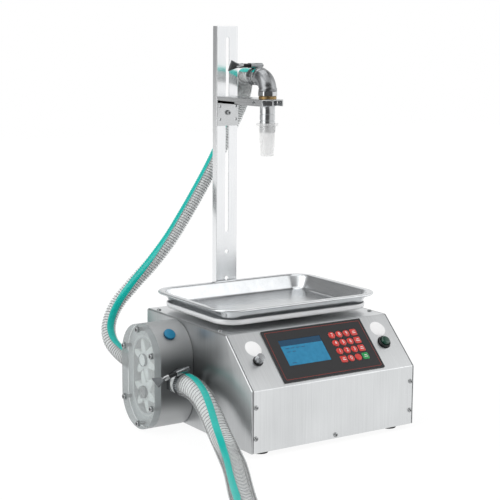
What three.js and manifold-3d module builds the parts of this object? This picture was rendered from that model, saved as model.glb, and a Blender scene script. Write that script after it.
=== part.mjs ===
// Liquid filling machine: a sheet steel housing with a sloping keypad, a lobe pump on its left side,
// a weighing tray on top and a slotted pole behind, whose sliding arm carries the filling nozzle.
// Millimetres, +Z up, front towards -Y. The pump draws through one ribbed hose and delivers through
// another.
import * as THREE from 'three';
import Module from 'manifold-3d';
import { mergeVertices } from 'three/addons/utils/BufferGeometryUtils.js';

const wasm = await Module();
wasm.setup();

// Fits shared by the whole machine
const seatGap = 0.3;
const runningGap = 0.6;
const overrun = 2;

// Housing
const housingWidth = 340;
const housingDepth = 345;
const frontHeight = 104;
const slopeRun = 81;
const housingHeight = 182;
const sheet = 1.5;
const panelFlange = 14;
const shaftHoleDiameter = 46;
const baseFlange = 16;

// Feet
const footHeight = 8;
const footTopDiameter = 24;
const footBottomDiameter = 28;
const footSideInset = 34;
const footEndInset = 27;

// Back panel openings and mains inlet
const ventSlotWidth = 3;
const ventSlotHeight = 34;
const ventSlotPitch = 8;
const ventSlots = 7;
const ventHeight = 120;
const ventSide = 95;
const inletWidth = 28;
const inletHeight = 48;
const inletDepth = 30;
const inletLip = 4;
const inletPlate = 3;
const inletSide = 95;
const inletCentreHeight = 62;
const socketWidth = 20;
const socketHeight = 14;
const socketDepth = 16;
const rockerWidth = 19;
const rockerHeight = 13;
const rockerRise = 2.2;
const rockerPivotDepth = 2;
const rockerBack = 3;
const rockerDrop = 13;

// Pole
const poleWidth = 45;
const poleDepth = 15;
const poleWall = 2;
const poleFoot = 60;
const poleTop = 696;
const slotWidth = 6.2;
const slotBottom = 317;
const slotTop = 676;
const poleHoleDiameter = 7;
const poleHoleHeights = [86, 160, 230, 280.5];

// Arm bracket
const bracketSheet = 2;
const armTop = 569;
const armFrontInset = 15.7;
const armFlange = 12;
const bracketDrop = 54;
const bracketHoleDiameter = 5;
const bracketHoleSide = 17;
const bracketHoleRise = 12;
const clampBoltDrop = 30;
const clampBoltDiameter = 5.6;
const clampHeadDiameter = 9;
const clampHeadHeight = 4;
const clampWasherDiameter = 22;
const clampWasherHeight = 1.5;
const armSlotLength = 9;
const armSlotHeight = 5;
const armHoleInset = 17;

// Filling nozzle, turned about a vertical axis over the middle of the tray
const nozzleDepth = 214;
const shankDiameter = 20;
const shankRise = 11;
const nozzleBore = 15;
const lockNutFlats = 30;
const lockNutHeight = 9.4;
const brassRingDiameter = 32;
const brassRingHeight = 5;
const collarFlats = 30;
const collarHeight = 9;
const elbowDiameter = 32;
const elbowBend = 24;
const elbowBore = 18;
const elbowEndBore = 16;
const tubeDiameter = 27;
const tubeLength = 46;
const grooveDepth = 1;
const grooveWidth = 2;
const grooveShares = [0.46, 0.7];
const shankShare = 0.7;
const tipLength = 58;
const tipOverlap = 16;
const tipTopDiameter = 30.5;
const tipEndDiameter = 24;
const tipWall = 2;
const tipFlangeDiameter = 39;
const tipFlangeHeight = 4;

// Hoses: outer and inner diameters and the ribs, and the hose tails that they push on to
const deliveryHose = { outer: 28, bore: 22, ribs: 52, ribsPerBoreRing: 1 };
const suctionHose = { outer: 40, bore: 32, ribs: 62, ribsPerBoreRing: 2 };
const tailClearance = 0.5;
const tailLength = 26;
const tailRidges = 3;
const tailRidgeHeight = 1;
const ribDepth = 0.9;
const hoseSides = 8;

// Worm drive hose clamps
const bandWidth = 12;
const bandThickness = 0.9;
const bandSetback = 10;
const wormHousingLength = 25;
const wormHousingWidth = 13;
const wormHousingHeight = 9;
const wormHousingCorner = 2;
const wormDiameter = 7;
const wormHeadDiameter = 9;
const wormHeadLength = 5;
const wormTipLength = 3;
const thumbWingWidth = 22;
const thumbWingLength = 16;
const thumbWingThickness = 3;
const thumbNeckLength = 25;
const nozzleKeyLean = 31;
const suctionKeyLean = -56;
const suctionClampTurn = -15;

// Pump
const pumpBodyLength = 64;
const pumpCentreDepth = 241;
const pumpCentreHeight = 95.5;
const coverThickness = 12.4;
const rotorTipRadius = 37;
const rotorRootRadius = 17.5;
const rotorMeshGap = 2.5;
const pumpSideWall = 21.5;
const pumpEndWall = 27;
const rotorLobes = 6;
const lobeSharpness = 1.3;
const rotorPhase = Math.PI / 12;
const rotorLength = 44;
const rotorPointsPerLobe = 12;
const pocketClearance = 0.8;
const bossDiameter = 21;
const bossHeight = 4;
const bossRecess = 1.4;
const rotorShaftDiameter = 16;
const idlerShaftLength = 12;
const driveShaftLength = 40;
const coverScrewDiameter = 6;
const coverScrewHead = 10;
const coverScrewHeadHeight = 6;
const coverScrewSink = 2.6;
const coverScrewSocket = 5;
const coverScrewSocketDepth = 3;
const coverScrewEdge = 9;
const coverScrewAngle = THREE.MathUtils.degToRad(14);
const sealWidth = 3;
const sealHeight = 2.4;
const sealMargin = 2.5;
const portSetback = 34;
const plugSetback = 38;
const portThreadLength = 11;
const portThreadStep = 3;
const portWall = 2;
const portFlange = 12;
const portFlangeLip = 3;
const plugDiameter = 21;
const plugHeight = 5;
const plugSpigotDiameter = 14;
const plugSpigotLength = 7;
const plugAngle = THREE.MathUtils.degToRad(47);

// Gear motor inside the housing, in line with the lower rotor
const motorDiameter = 86;
const motorLength = 118;
const motorFlangeDiameter = 70;
const motorFlangeLength = 8;

// Weighing platform and tray
const platformDepth = nozzleDepth;
const traySize = { width: 340, depth: 250, corner: 45, rim: 227 };
const trayWall = 1;
const trayBead = 2;
const trayRimWidth = 9;
const trayWallRun = 11;
const trayFillet = 4;
const supportSize = { width: 316, depth: 224, corner: 40 };
const supportHeight = 10;
const supportWall = 2;
const supportLift = 8;
const loadCell = { length: 130, width: 24, height: 22 };
const loadCellCentreHeight = 151;
const loadCellBore = { length: 36, height: 18, corner: 8 };
const postSize = 24;
const postOffset = 48;
const postClearance = 9;
const spacerHeight = 6;
const crossbarWidth = 40;
const crossbarHeight = 16;
const crossbarSheet = 2.5;

// Control panel on the slope: places are measured up from the lower edge, and across from the middle in
// shares of the housing's width
const panelShares = {
  overlayShare: 0.6176, overlayMiddleShare: 0.0059, lcdShare: 0.2529, lcdLeftShare: -0.2303,
  keyShare: 0.0394, keyPitchShare: 0.0459, keyLeftShare: 0.0956, controlShare: 0.3912 };
const overlayHeight = 103.5;
const overlayLift = 6;
const overlayThickness = 2;
const overlayCorner = 1.5;
const lcdHeight = 50.5;
const lcdLow = 36.5;
const keyCorner = 2.4;
const keyPitchUp = 16.6;
const keyLow = 33.3;
const keyThickness = 2;
const keyDome = 0.5;
const keyTravel = 0.6;
const controlLift = 55;
const knobDiameter = 14;
const knobHeight = 15;
const knobFlutes = 14;
const knobFluteDepth = 0.4;
const knobCollarDiameter = 18;
const knobCollarHeight = 1.6;
const knobShaftDiameter = 6;
const buttonDiameter = 16;
const buttonHeight = 6;
const buttonDome = 1.6;
const buttonBezelDiameter = 22;
const buttonBezelHeight = 5;
const buttonBarrelLength = 24;
const buttonBarrelWall = 4;
const capShoulderShare = 0.6;
const capRiseShare = 0.8;
const buttonTravel = 3;

// Hose routes, as points chosen along the middle of each hose
const suctionRoute = [
  [-204, 169.9, 95.5], [-204, 155, 95.5], [-204, 138, 95.5], [-204.5, 116, 92.5], [-205, 95, 84.5],
  [-206, 75, 72], [-207.5, 56, 57], [-210, 37, 43], [-214, 15, 31], [-221, -9, 23.2],
  [-232, -36, 20.4], [-247, -68, 20.3], [-264, -101, 20.3], [-282, -134, 20.3], [-300, -167, 20.3],
  [-318, -201, 20.3], [-338, -238, 20.3], [-364, -273, 20.3], [-397, -302, 20.3], [-436, -320, 20.3],
  [-478, -326, 20.3], [-520, -318, 20.3], [-558, -295, 20.3], [-587, -261, 20.3], [-604, -221, 20.3],
  [-607, -178, 20.3], [-598, -138, 20.3], [-581, -104, 20.3],
];
const deliveryRoute = [
  [-204, 312.1, 95.5], [-204, 326, 95.5], [-204, 340, 95.5], [-206.5, 362, 99], [-211.5, 382, 108.5],
  [-216, 399, 122.5], [-214, 413, 142], [-205, 420, 165], [-190, 420, 190], [-164, 413, 221],
  [-128, 402, 261], [-94, 394, 304], [-62, 391, 350], [-34, 391, 391], [-8, 392, 430],
  [14, 394, 465], [34, 396, 498], [47, 394, 524], [54, 385, 549.5], [52, 371, 570],
  [45, 355, 585.5], [35, 339, 596.5], [23, 322, 604], [11, 304, 607.2], [3, 288, 607.6],
  [0, 272, 607.6], [0, 260, 607.6], [0, 249, 607.6], [0, 238.3, 607.6],
];

// Finishes
const finishes = {
  brushed: { color: 0xb9bbbc, roughness: 0.38, metalness: 1 },
  polished: { color: 0xc9cbcc, roughness: 0.18, metalness: 1 },
  darkSteel: { color: 0x77797b, roughness: 0.22, metalness: 1 },
  cast: { color: 0x9a9c9d, roughness: 0.5, metalness: 0.9 },
  brass: { color: 0xb9904a, roughness: 0.3, metalness: 1 },
  clear: { color: 0xdfe3e4, roughness: 0.1, metalness: 0 },
  seal: { color: 0xd6d8d8, roughness: 0.6, metalness: 0 },
  nylon: { color: 0xe9eaea, roughness: 0.45, metalness: 0 },
  silicone: { color: 0xe6e9ea, roughness: 0.4, metalness: 0 },
  blue: { color: 0x0a72a4, roughness: 0.45, metalness: 0 },
  black: { color: 0x151617, roughness: 0.6, metalness: 0 },
  film: { color: 0x26282b, roughness: 0.45, metalness: 0 },
  screen: { color: 0x2c7fb4, roughness: 0.15, metalness: 0 },
  redKey: { color: 0xd8362f, roughness: 0.4, metalness: 0 },
  greenKey: { color: 0x18a34a, roughness: 0.4, metalness: 0 },
  greenCap: { color: 0x0d4a34, roughness: 0.25, metalness: 0 },
  hose: { color: 0xd9dcdc, roughness: 0.25, metalness: 0 },
  motor: { color: 0x4b4e50, roughness: 0.5, metalness: 0.6 },
};

const machine = new THREE.Group();
const slope = new THREE.Group();

// Solids and meshes

function toSolid(geometry) {
  const bare = new THREE.BufferGeometry();
  bare.setAttribute('position', geometry.attributes.position.clone());
  bare.setIndex(geometry.index);
  const closed = mergeVertices(bare);
  return new wasm.Manifold(new wasm.Mesh({
    numProp: 3,
    vertProperties: new Float32Array(closed.attributes.position.array),
    triVerts: new Uint32Array(closed.index.array),
  }));
}

function toGeometry(solid) {
  const mesh = solid.getMesh();
  const geometry = new THREE.BufferGeometry();
  geometry.setAttribute('position', new THREE.BufferAttribute(mesh.vertProperties, 3));
  geometry.setIndex(new THREE.BufferAttribute(mesh.triVerts, 1));
  geometry.computeVertexNormals();
  return geometry;
}

function add(name, solid, finish, parent = machine) {
  const geometry = solid instanceof THREE.BufferGeometry ? solid : toGeometry(solid);
  const mesh = new THREE.Mesh(geometry, new THREE.MeshStandardMaterial(finishes[finish]));
  mesh.name = name;
  parent.add(mesh);
  return mesh;
}

// An outline drawn across Y and up Z, drawn out along X from one place to another
function extrudeX(outline, from, to, arcSteps = 3) {
  const geometry = new THREE.ExtrudeGeometry(outline, {
    depth: to - from, bevelEnabled: false, curveSegments: arcSteps });
  const placing = new THREE.Matrix4().makeBasis(
    new THREE.Vector3(0, 1, 0), new THREE.Vector3(0, 0, 1), new THREE.Vector3(1, 0, 0));
  geometry.applyMatrix4(placing.setPosition(from, 0, 0));
  return toSolid(geometry);
}

// An outline drawn across X and up Z, drawn out along Y from one place to another
function extrudeY(outline, from, to, arcSteps = 3) {
  const geometry = new THREE.ExtrudeGeometry(outline, {
    depth: to - from, bevelEnabled: false, curveSegments: arcSteps });
  const placing = new THREE.Matrix4().makeBasis(
    new THREE.Vector3(1, 0, 0), new THREE.Vector3(0, 0, 1), new THREE.Vector3(0, -1, 0));
  geometry.applyMatrix4(placing.setPosition(0, to, 0));
  return toSolid(geometry);
}

// An outline drawn in plan, drawn up along Z from one height to another
function extrudeZ(outline, from, to, arcSteps = 3) {
  const geometry = new THREE.ExtrudeGeometry(outline, {
    depth: to - from, bevelEnabled: false, curveSegments: arcSteps });
  geometry.translate(0, 0, from);
  return toSolid(geometry);
}

// A profile of radius and height pairs turned about Z, from the axis back to the axis or closed on itself
function turn(profile, sides = 28) {
  const points = profile.map(([radius, height]) => new THREE.Vector2(radius, height));
  const geometry = new THREE.LatheGeometry(points, sides);
  geometry.rotateX(Math.PI / 2);
  return toSolid(geometry);
}

function disc(diameter, from, to, sides = 24) {
  const radius = diameter / 2;
  return turn([[0, from], [radius, from], [radius, to], [0, to]], sides);
}

// Turns a solid made along Z so that it points along X or Y, about the origin
const alongX = (solid) => solid.rotate([0, 90, 0]);
const alongY = (solid) => solid.rotate([-90, 0, 0]);

function polygon(points) {
  return new THREE.Shape(points.map(([x, y]) => new THREE.Vector2(x, y)));
}

function rectangle(width, height, x = 0, y = 0) {
  const w = width / 2;
  const h = height / 2;
  return polygon([[x - w, y - h], [x + w, y - h], [x + w, y + h], [x - w, y + h]]);
}

// A rectangle whose corners are quarter rounds
function roundedRectangle(width, height, radius, x = 0, y = 0) {
  const w = width / 2 - radius;
  const h = height / 2 - radius;
  const outline = new THREE.Shape();
  const corners = [[w, h], [-w, h], [-w, -h], [w, -h]];
  corners.forEach(([across, up], quarter) => {
    const start = (quarter * Math.PI) / 2;
    outline.absarc(x + across, y + up, radius, start, start + Math.PI / 2, false);
  });
  outline.closePath();
  return outline;
}

// An upright outline with two straight sides and half round ends
function obround(width, height, x, y) {
  return roundedRectangle(width, height, width / 2, x, y);
}

function circle(diameter, x, y) {
  return roundedRectangle(diameter, diameter, diameter / 2, x, y);
}

function hexagon(flats) {
  const corner = flats / Math.sqrt(3);
  const angles = [0, 1, 2, 3, 4, 5].map((side) => (side * Math.PI) / 3);
  return polygon(angles.map((angle) => [corner * Math.cos(angle), corner * Math.sin(angle)]));
}

// The outline moved inwards, to the right of its direction of travel, with mitred corners
function offsetLine(points, distance) {
  return points.map(([x, y], index) => {
    const before = points[Math.max(index - 1, 0)];
    const after = points[Math.min(index + 1, points.length - 1)];
    const into = index > 0 ? direction(before, [x, y]) : direction([x, y], after);
    const out = index < points.length - 1 ? direction([x, y], after) : into;
    const normal = [into[1] + out[1], -into[0] - out[0]];
    const stretch = (2 * distance) / (normal[0] ** 2 + normal[1] ** 2);
    return [x + normal[0] * stretch, y + normal[1] * stretch];
  });
}

function direction([x0, y0], [x1, y1]) {
  const length = Math.hypot(x1 - x0, y1 - y0);
  return [(x1 - x0) / length, (y1 - y0) / length];
}

function bentSheet(points, thickness) {
  return polygon([...points, ...offsetLine(points, thickness).reverse()]);
}

// Housing places that other pieces line up with
const halfWidth = housingWidth / 2;
const floorLevel = footHeight;
const frontTop = floorLevel + frontHeight;
const topLevel = floorLevel + housingHeight;
const slopeAngle = Math.atan2(topLevel - frontTop, slopeRun);
const overlayWidth = housingWidth * panelShares.overlayShare;
const overlayMiddle = housingWidth * panelShares.overlayMiddleShare;
const lcdWidth = housingWidth * panelShares.lcdShare;
const lcdLeft = housingWidth * panelShares.lcdLeftShare;
const keySize = housingWidth * panelShares.keyShare;
const keyPitchAcross = housingWidth * panelShares.keyPitchShare;
const keyLeft = housingWidth * panelShares.keyLeftShare;
const controlSide = housingWidth * panelShares.controlShare;
const buttonBarrelDiameter = buttonDiameter + 2 * buttonBarrelWall;
const housingLine = [[0, floorLevel], [0, frontTop], [slopeRun, topLevel], [housingDepth, topLevel]];

// Housing wrap: one sheet bent over the front, the slope and the top, cut out for the two controls
// and the load post
function makeWrap() {
  let wrap = extrudeX(bentSheet(housingLine, sheet), -halfWidth, halfWidth);
  const postHole = circle(postSize + 2 * postClearance, postOffset, platformDepth);
  wrap = wrap.subtract(extrudeZ(postHole, topLevel - sheet - overrun, topLevel + overrun));
  const barrel = knobShaftDiameter + 2 * seatGap;
  const cutouts = [[-controlSide, barrel], [controlSide, buttonBarrelDiameter + 2 * seatGap]];
  for (const [across, diameter] of cutouts) {
    const hole = disc(diameter, -sheet - overrun, overrun)
      .translate([across, controlLift, 0])
      .rotate([THREE.MathUtils.radToDeg(slopeAngle), 0, 0])
      .translate([0, 0, frontTop]);
    wrap = wrap.subtract(hole);
  }
  add('housing_wrap', wrap, 'brushed');
}

// Side panels: flat plates within the wrap's outline, flanged inwards at the front, slope, top and back
function makeSidePanel(name, side) {
  const edge = offsetLine(housingLine, sheet + seatGap);
  const back = housingDepth - sheet - seatGap;
  const outline = [...edge.slice(0, -1), [back, edge[edge.length - 1][1]], [back, floorLevel]];
  const flangeLow = floorLevel + sheet + seatGap;
  const flangeLine = outline.map(([depth, height]) => [depth, Math.max(height, flangeLow)]);
  const between = (a, b) => [Math.min(side * a, side * b), Math.max(side * a, side * b)];
  const plate = extrudeX(polygon(outline), ...between(halfWidth, halfWidth - sheet));
  const flange = extrudeX(
    bentSheet(flangeLine, sheet), ...between(halfWidth - sheet / 2, halfWidth - panelFlange));
  let panel = plate.add(flange);
  if (side < 0) {
    const shaftHole = alongX(disc(shaftHoleDiameter, -halfWidth - overrun, overrun - halfWidth + sheet));
    panel = panel.subtract(shaftHole.translate([0, pumpCentreDepth, lowerRotorHeight]));
  }
  add(name, panel, 'brushed');
}

// Base plate: carries the feet and turns up behind the wrap's lower front edge
function makeBase() {
  const front = sheet + seatGap;
  const back = housingDepth - sheet - seatGap;
  const half = halfWidth - sheet - seatGap;
  const outline = rectangle(2 * half, back - front, 0, (front + back) / 2);
  const plate = extrudeZ(outline, floorLevel, floorLevel + sheet);
  const flangeHalf = halfWidth - panelFlange - seatGap;
  const flange = extrudeY(
    rectangle(2 * flangeHalf, baseFlange, 0, floorLevel + baseFlange / 2), front, front + sheet);
  add('base_plate', plate.add(flange), 'brushed');
}

// Back panel: vented, with the opening for the mains inlet
function makeBackPanel() {
  const top = topLevel - sheet - seatGap;
  const outline = rectangle(housingWidth, top - floorLevel, 0, (top + floorLevel) / 2);
  for (let row = 0; row < ventSlots; row += 1) {
    const x = -ventSide + (row - (ventSlots - 1) / 2) * ventSlotPitch;
    outline.holes.push(obround(ventSlotWidth, ventSlotHeight, x, ventHeight));
  }
  outline.holes.push(rectangle(
    inletWidth + 2 * seatGap, inletHeight + 2 * seatGap, inletSide, inletCentreHeight));
  add('back_panel', extrudeY(outline, housingDepth - sheet, housingDepth, 1), 'brushed');
}

// Rubber feet, a little wider at the floor
function makeFeet() {
  const corners = [
    ['front_left', -1, 0], ['front_right', 1, 0], ['rear_left', -1, 1], ['rear_right', 1, 1]];
  const top = footHeight - seatGap;
  for (const [name, side, end] of corners) {
    const foot = turn([[0, 0], [footBottomDiameter / 2, 0], [footTopDiameter / 2, top], [0, top]], 24);
    const y = end ? housingDepth - footEndInset : footEndInset;
    add(`foot_${name}`, foot.translate([side * (halfWidth - footSideInset), y, 0]), 'black');
  }
}

// Mains inlet with its rocker switch, in the back panel
function makeMainsInlet() {
  const face = housingDepth + seatGap;
  const rockerHeightAt = inletCentreHeight + rockerDrop;
  const socketHeightAt = inletCentreHeight - rockerDrop;
  const rim = extrudeY(
    rectangle(inletWidth + 2 * inletLip, inletHeight + 2 * inletLip, inletSide, inletCentreHeight),
    face, face + inletPlate);
  const bodyOutline = rectangle(inletWidth, inletHeight, inletSide, inletCentreHeight);
  let inlet = extrudeY(bodyOutline, housingDepth - inletDepth, face).add(rim);
  const socket = rectangle(socketWidth, socketHeight, inletSide, socketHeightAt);
  inlet = inlet.subtract(extrudeY(socket, face + inletPlate - socketDepth, face + inletPlate + overrun));
  const well = rectangle(
    rockerWidth + 2 * runningGap, rockerHeight + 2 * runningGap, inletSide, rockerHeightAt);
  const pivot = face + inletPlate - rockerPivotDepth;
  const wellFloor = pivot - rockerHeight / 2 - runningGap;
  inlet = inlet.subtract(extrudeY(well, wellFloor, face + inletPlate + overrun));
  add('mains_inlet', inlet, 'black');

  // The rocker's ends are round about its pivot, and its upper end stands proud
  const onRound = (depth, side) => [pivot + depth, side * Math.sqrt((rockerHeight / 2) ** 2 - depth ** 2)];
  const rocker = polygon([
    onRound(-rockerBack, -1), onRound(0, -1), onRound(rockerPivotDepth, -1),
    [pivot + rockerPivotDepth, 0], onRound(rockerPivotDepth + rockerRise, 1),
    onRound(rockerPivotDepth, 1), onRound(0, 1), onRound(-rockerBack, 1)]);
  add('power_switch', extrudeX(rocker, inletSide - rockerWidth / 2, inletSide + rockerWidth / 2)
    .translate([0, 0, rockerHeightAt]), 'black');
}

// Pole: a channel with its web to the front, slotted for the arm and bolted to the back panel
const webFront = housingDepth + seatGap;
function makePole() {
  const half = poleWidth / 2;
  const back = webFront + poleDepth;
  const section = polygon([
    [-half, webFront], [half, webFront], [half, back], [half - poleWall, back],
    [half - poleWall, webFront + poleWall], [poleWall - half, webFront + poleWall],
    [poleWall - half, back], [-half, back]]);
  let pole = extrudeZ(section, poleFoot, poleTop);
  const cut = (outline) => extrudeY(outline, webFront - overrun, webFront + poleWall + overrun, 2);
  pole = pole.subtract(cut(obround(slotWidth, slotTop - slotBottom, 0, (slotTop + slotBottom) / 2)));
  for (const height of poleHoleHeights) {
    pole = pole.subtract(cut(circle(poleHoleDiameter, 0, height)));
  }
  add('pole', pole, 'brushed');
}

// Arm bracket: one sheet with a plate on the pole's web and a channel arm that reaches over the tray
const plateBack = webFront - seatGap;
const armFront = nozzleDepth - armFrontInset;
const boltHeight = armTop - clampBoltDrop;
function makeArmBracket() {
  const half = poleWidth / 2;
  const line = [[armFront, armTop], [plateBack, armTop], [plateBack, armTop - bracketDrop]];
  let bracket = extrudeX(bentSheet(line, bracketSheet), -half, half);
  const flangeBack = plateBack - bracketSheet;
  const flange = rectangle(
    flangeBack - armFront, armFlange, (flangeBack + armFront) / 2, armTop - armFlange / 2);
  for (const side of [-1, 1]) {
    const outside = side * half;
    const inside = side * (half - bracketSheet);
    bracket = bracket.add(extrudeX(flange, Math.min(outside, inside), Math.max(outside, inside)));
  }
  const nozzleHole = circle(shankDiameter + 2 * seatGap, 0, nozzleDepth);
  bracket = bracket.subtract(extrudeZ(nozzleHole, armTop - bracketSheet - overrun, armTop + overrun));
  const middle = armTop - armFlange / 2;
  const slotEnd = armFront + armHoleInset + armSlotLength;
  const sideSlot = rectangle(armSlotLength, armSlotHeight, slotEnd, middle);
  bracket = bracket.subtract(extrudeX(sideSlot, -half - overrun, bracketSheet - half + overrun));
  const sideHole = circle(bracketHoleDiameter, armFront + armHoleInset, middle);
  bracket = bracket.subtract(extrudeX(sideHole, half - bracketSheet - overrun, half + overrun, 1));
  const cut = (outline) => extrudeY(outline, plateBack - bracketSheet - overrun, plateBack + overrun, 1);
  bracket = bracket.subtract(cut(circle(clampBoltDiameter + 2 * seatGap, 0, boltHeight)));
  for (const x of [-bracketHoleSide, bracketHoleSide]) {
    for (const rise of [-bracketHoleRise, bracketHoleRise]) {
      bracket = bracket.subtract(cut(circle(bracketHoleDiameter, x, boltHeight + rise)));
    }
  }
  add('arm_bracket', bracket, 'brushed');
}

// Clamp bolt: its head lies on the bracket, its washer and nut behind the pole's web
function makeClampBolt() {
  const front = plateBack - bracketSheet - seatGap;
  const back = webFront + poleWall + seatGap;
  const washerEnd = back + clampWasherHeight;
  const bolt = disc(clampHeadDiameter, front - clampHeadHeight, front)
    .add(disc(clampBoltDiameter, front - clampHeadHeight / 2, washerEnd + clampHeadHeight, 20))
    .add(disc(clampWasherDiameter, back, washerEnd))
    .add(extrudeZ(hexagon(clampHeadDiameter), washerEnd - seatGap, washerEnd + clampHeadHeight));
  add('arm_clamp_bolt', alongY(bolt).translate([0, 0, boltHeight]), 'polished');
}

// Nozzle stack: heights from the arm's sheet upwards and downwards
const armUnder = armTop - bracketSheet;
const ringLow = armTop + seatGap;
const collarLow = ringLow + brassRingHeight + seatGap;
const collarTop = collarLow + collarHeight;
const elbowHeight = collarTop + elbowBend;
const elbowMouth = nozzleDepth + elbowBend;
const nutTop = armUnder - seatGap;
const tubeTop = nutTop - lockNutHeight - seatGap;
const tubeEnd = tubeTop - tubeLength;
const tipTop = tubeEnd + tipOverlap;

function placeOnNozzleAxis(solid) {
  return solid.translate([0, nozzleDepth, 0]);
}

function makeNozzleNutAndRing() {
  const bore = disc(shankDiameter + 2 * seatGap, armUnder - lockNutHeight - overrun - seatGap, collarLow);
  const nut = extrudeZ(hexagon(lockNutFlats), nutTop - lockNutHeight, nutTop).subtract(bore);
  add('nozzle_lock_nut', placeOnNozzleAxis(nut), 'polished');
  const ring = disc(brassRingDiameter, ringLow, ringLow + brassRingHeight, 28).subtract(bore);
  add('brass_ring', placeOnNozzleAxis(ring), 'brass');
}

// Elbow: a hexagon collar, a quarter bend and a hose tail that points to the back
class QuarterBend extends THREE.Curve {
  getPoint(share) {
    const angle = (share * Math.PI) / 2;
    return new THREE.Vector3(
      0, elbowMouth - elbowBend * Math.cos(angle), collarTop + elbowBend * Math.sin(angle));
  }
}

function sweepQuarter(diameter) {
  const outline = circle(diameter, 0, 0);
  return toSolid(new THREE.ExtrudeGeometry(outline, {
    steps: 7, extrudePath: new QuarterBend(), curveSegments: 2 }));
}

function hoseTail(hose, length) {
  const radius = hose.bore / 2 - tailClearance;
  const step = length / tailRidges;
  const profile = [[0, 0]];
  for (let ridge = 0; ridge < tailRidges; ridge += 1) {
    profile.push([radius, ridge * step]);
    profile.push([radius - tailRidgeHeight, (ridge + 1) * step]);
  }
  profile.push([0, length]);
  return turn(profile, 16);
}

function makeElbow() {
  const joint = seatGap;
  const collar = extrudeZ(hexagon(collarFlats), collarLow, collarTop + joint);
  const tail = alongY(hoseTail(deliveryHose, tailLength)).translate([0, elbowMouth - joint, elbowHeight]);
  let elbow = placeOnNozzleAxis(collar).add(sweepQuarter(elbowDiameter)).add(tail);
  const shankBore = disc(shankDiameter + 2 * seatGap, collarLow - overrun, collarTop);
  elbow = elbow.subtract(placeOnNozzleAxis(shankBore)).subtract(sweepQuarter(elbowBore));
  const tailBore = alongY(disc(elbowEndBore, -overrun, tailLength + overrun));
  elbow = elbow.subtract(tailBore.translate([0, elbowMouth, elbowHeight]));
  const mouthBore = disc(elbowEndBore, collarTop - overrun, collarTop + overrun);
  add('nozzle_elbow', elbow.subtract(placeOnNozzleAxis(mouthBore)), 'darkSteel');
}

// Nozzle tube: a shank up through the nut, the arm and the ring, and a grooved tube below
function makeNozzleTube() {
  const radius = tubeDiameter / 2;
  const shank = shankDiameter / 2;
  const bore = nozzleBore / 2;
  const profile = [[bore, tubeEnd], [radius, tubeEnd]];
  for (const share of grooveShares) {
    const low = tubeEnd + tubeLength * share;
    const high = low + grooveWidth;
    profile.push([radius, low], [radius - grooveDepth, low + grooveDepth / 2]);
    profile.push([radius - grooveDepth, high], [radius, high + grooveDepth / 2]);
  }
  profile.push([radius, tubeTop], [shank, tubeTop], [shank, collarLow + shankRise * shankShare]);
  profile.push([bore, collarLow + shankRise * shankShare], [bore, tubeEnd]);
  add('nozzle_tube', placeOnNozzleAxis(turn(profile, 18)), 'darkSteel');
}

// Soft nozzle tip: a translucent tapered sleeve pushed on to the tube, with a flange at its top
function makeNozzleTip() {
  const low = tipTop - tipLength;
  const topRadius = tipTopDiameter / 2;
  const endRadius = tipEndDiameter / 2;
  const bore = tubeDiameter / 2 + seatGap;
  const step = tubeEnd - seatGap;
  const neck = bore - tipWall;
  const tip = turn([
    [endRadius - tipWall, low], [endRadius, low], [topRadius, tipTop - tipFlangeHeight],
    [tipFlangeDiameter / 2, tipTop - tipFlangeHeight], [tipFlangeDiameter / 2, tipTop],
    [bore, tipTop], [bore, step], [neck, step], [endRadius - tipWall, low]]);
  add('nozzle_tip', placeOnNozzleAxis(tip), 'silicone');
}

// Hose clamps: a band round the hose, a worm housing on it and the worm across the hose
// The clamp is made round Z with its housing towards +Y; the worm runs along X
function clampBand(hose) {
  const inner = hose.outer / 2 + seatGap;
  const outer = inner + bandThickness;
  const half = bandWidth / 2;
  const band = turn([[inner, -half], [outer, -half], [outer, half], [inner, half], [inner, -half]], 20);
  const outline = roundedRectangle(
    wormHousingHeight, wormHousingWidth, wormHousingCorner, wormRadius(hose));
  const reach = wormHousingLength / 2;
  return band.add(extrudeX(outline, -reach, reach, 1));
}

function wormRadius(hose) {
  return hose.outer / 2 + seatGap + bandThickness / 2 + wormHousingHeight / 2;
}

function plainClamp(hose) {
  const half = wormHousingLength / 2;
  const worm = disc(wormDiameter, -half - wormTipLength, half + overrun, 12)
    .add(disc(wormHeadDiameter, half + overrun / 2, half + wormHeadLength, 12));
  return clampBand(hose).add(alongX(worm).translate([0, wormRadius(hose), 0]));
}

const clampSetback = bandSetback + bandWidth / 2;

// Clamp with a thumb key: the worm is part of the key, which turns in the bored housing
function thumbClamp(hose) {
  const bore = alongX(disc(wormDiameter + 2 * runningGap, -wormHousingLength, wormHousingLength, 20));
  return clampBand(hose).subtract(bore.translate([0, wormRadius(hose), 0]));
}

function thumbKey(hose, lean) {
  const neck = wormHousingLength / 2 + thumbNeckLength;
  const far = wormHousingLength / 2 + wormTipLength;
  const wing = polygon([
    [-neck, -wormDiameter / 2], [-neck, wormDiameter / 2], [-neck - thumbWingLength, thumbWingWidth / 2],
    [-neck - thumbWingLength, -thumbWingWidth / 2]]);
  const key = alongX(disc(wormDiameter, -neck - overrun, far, 16))
    .add(extrudeZ(wing, -thumbWingThickness / 2, thumbWingThickness / 2));
  return key.rotate([lean, 0, 0]).translate([0, wormRadius(hose), 0]);
}

function makeNozzleClamp() {
  const depth = elbowMouth + seatGap + clampSetback;
  const place = (solid) => solid.rotate([90, 0, 0]).translate([0, depth, elbowHeight]);
  add('nozzle_clamp', place(thumbClamp(deliveryHose)), 'polished');
  add('clamp_thumb_key', place(thumbKey(deliveryHose, nozzleKeyLean)), 'darkSteel');
}

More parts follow.
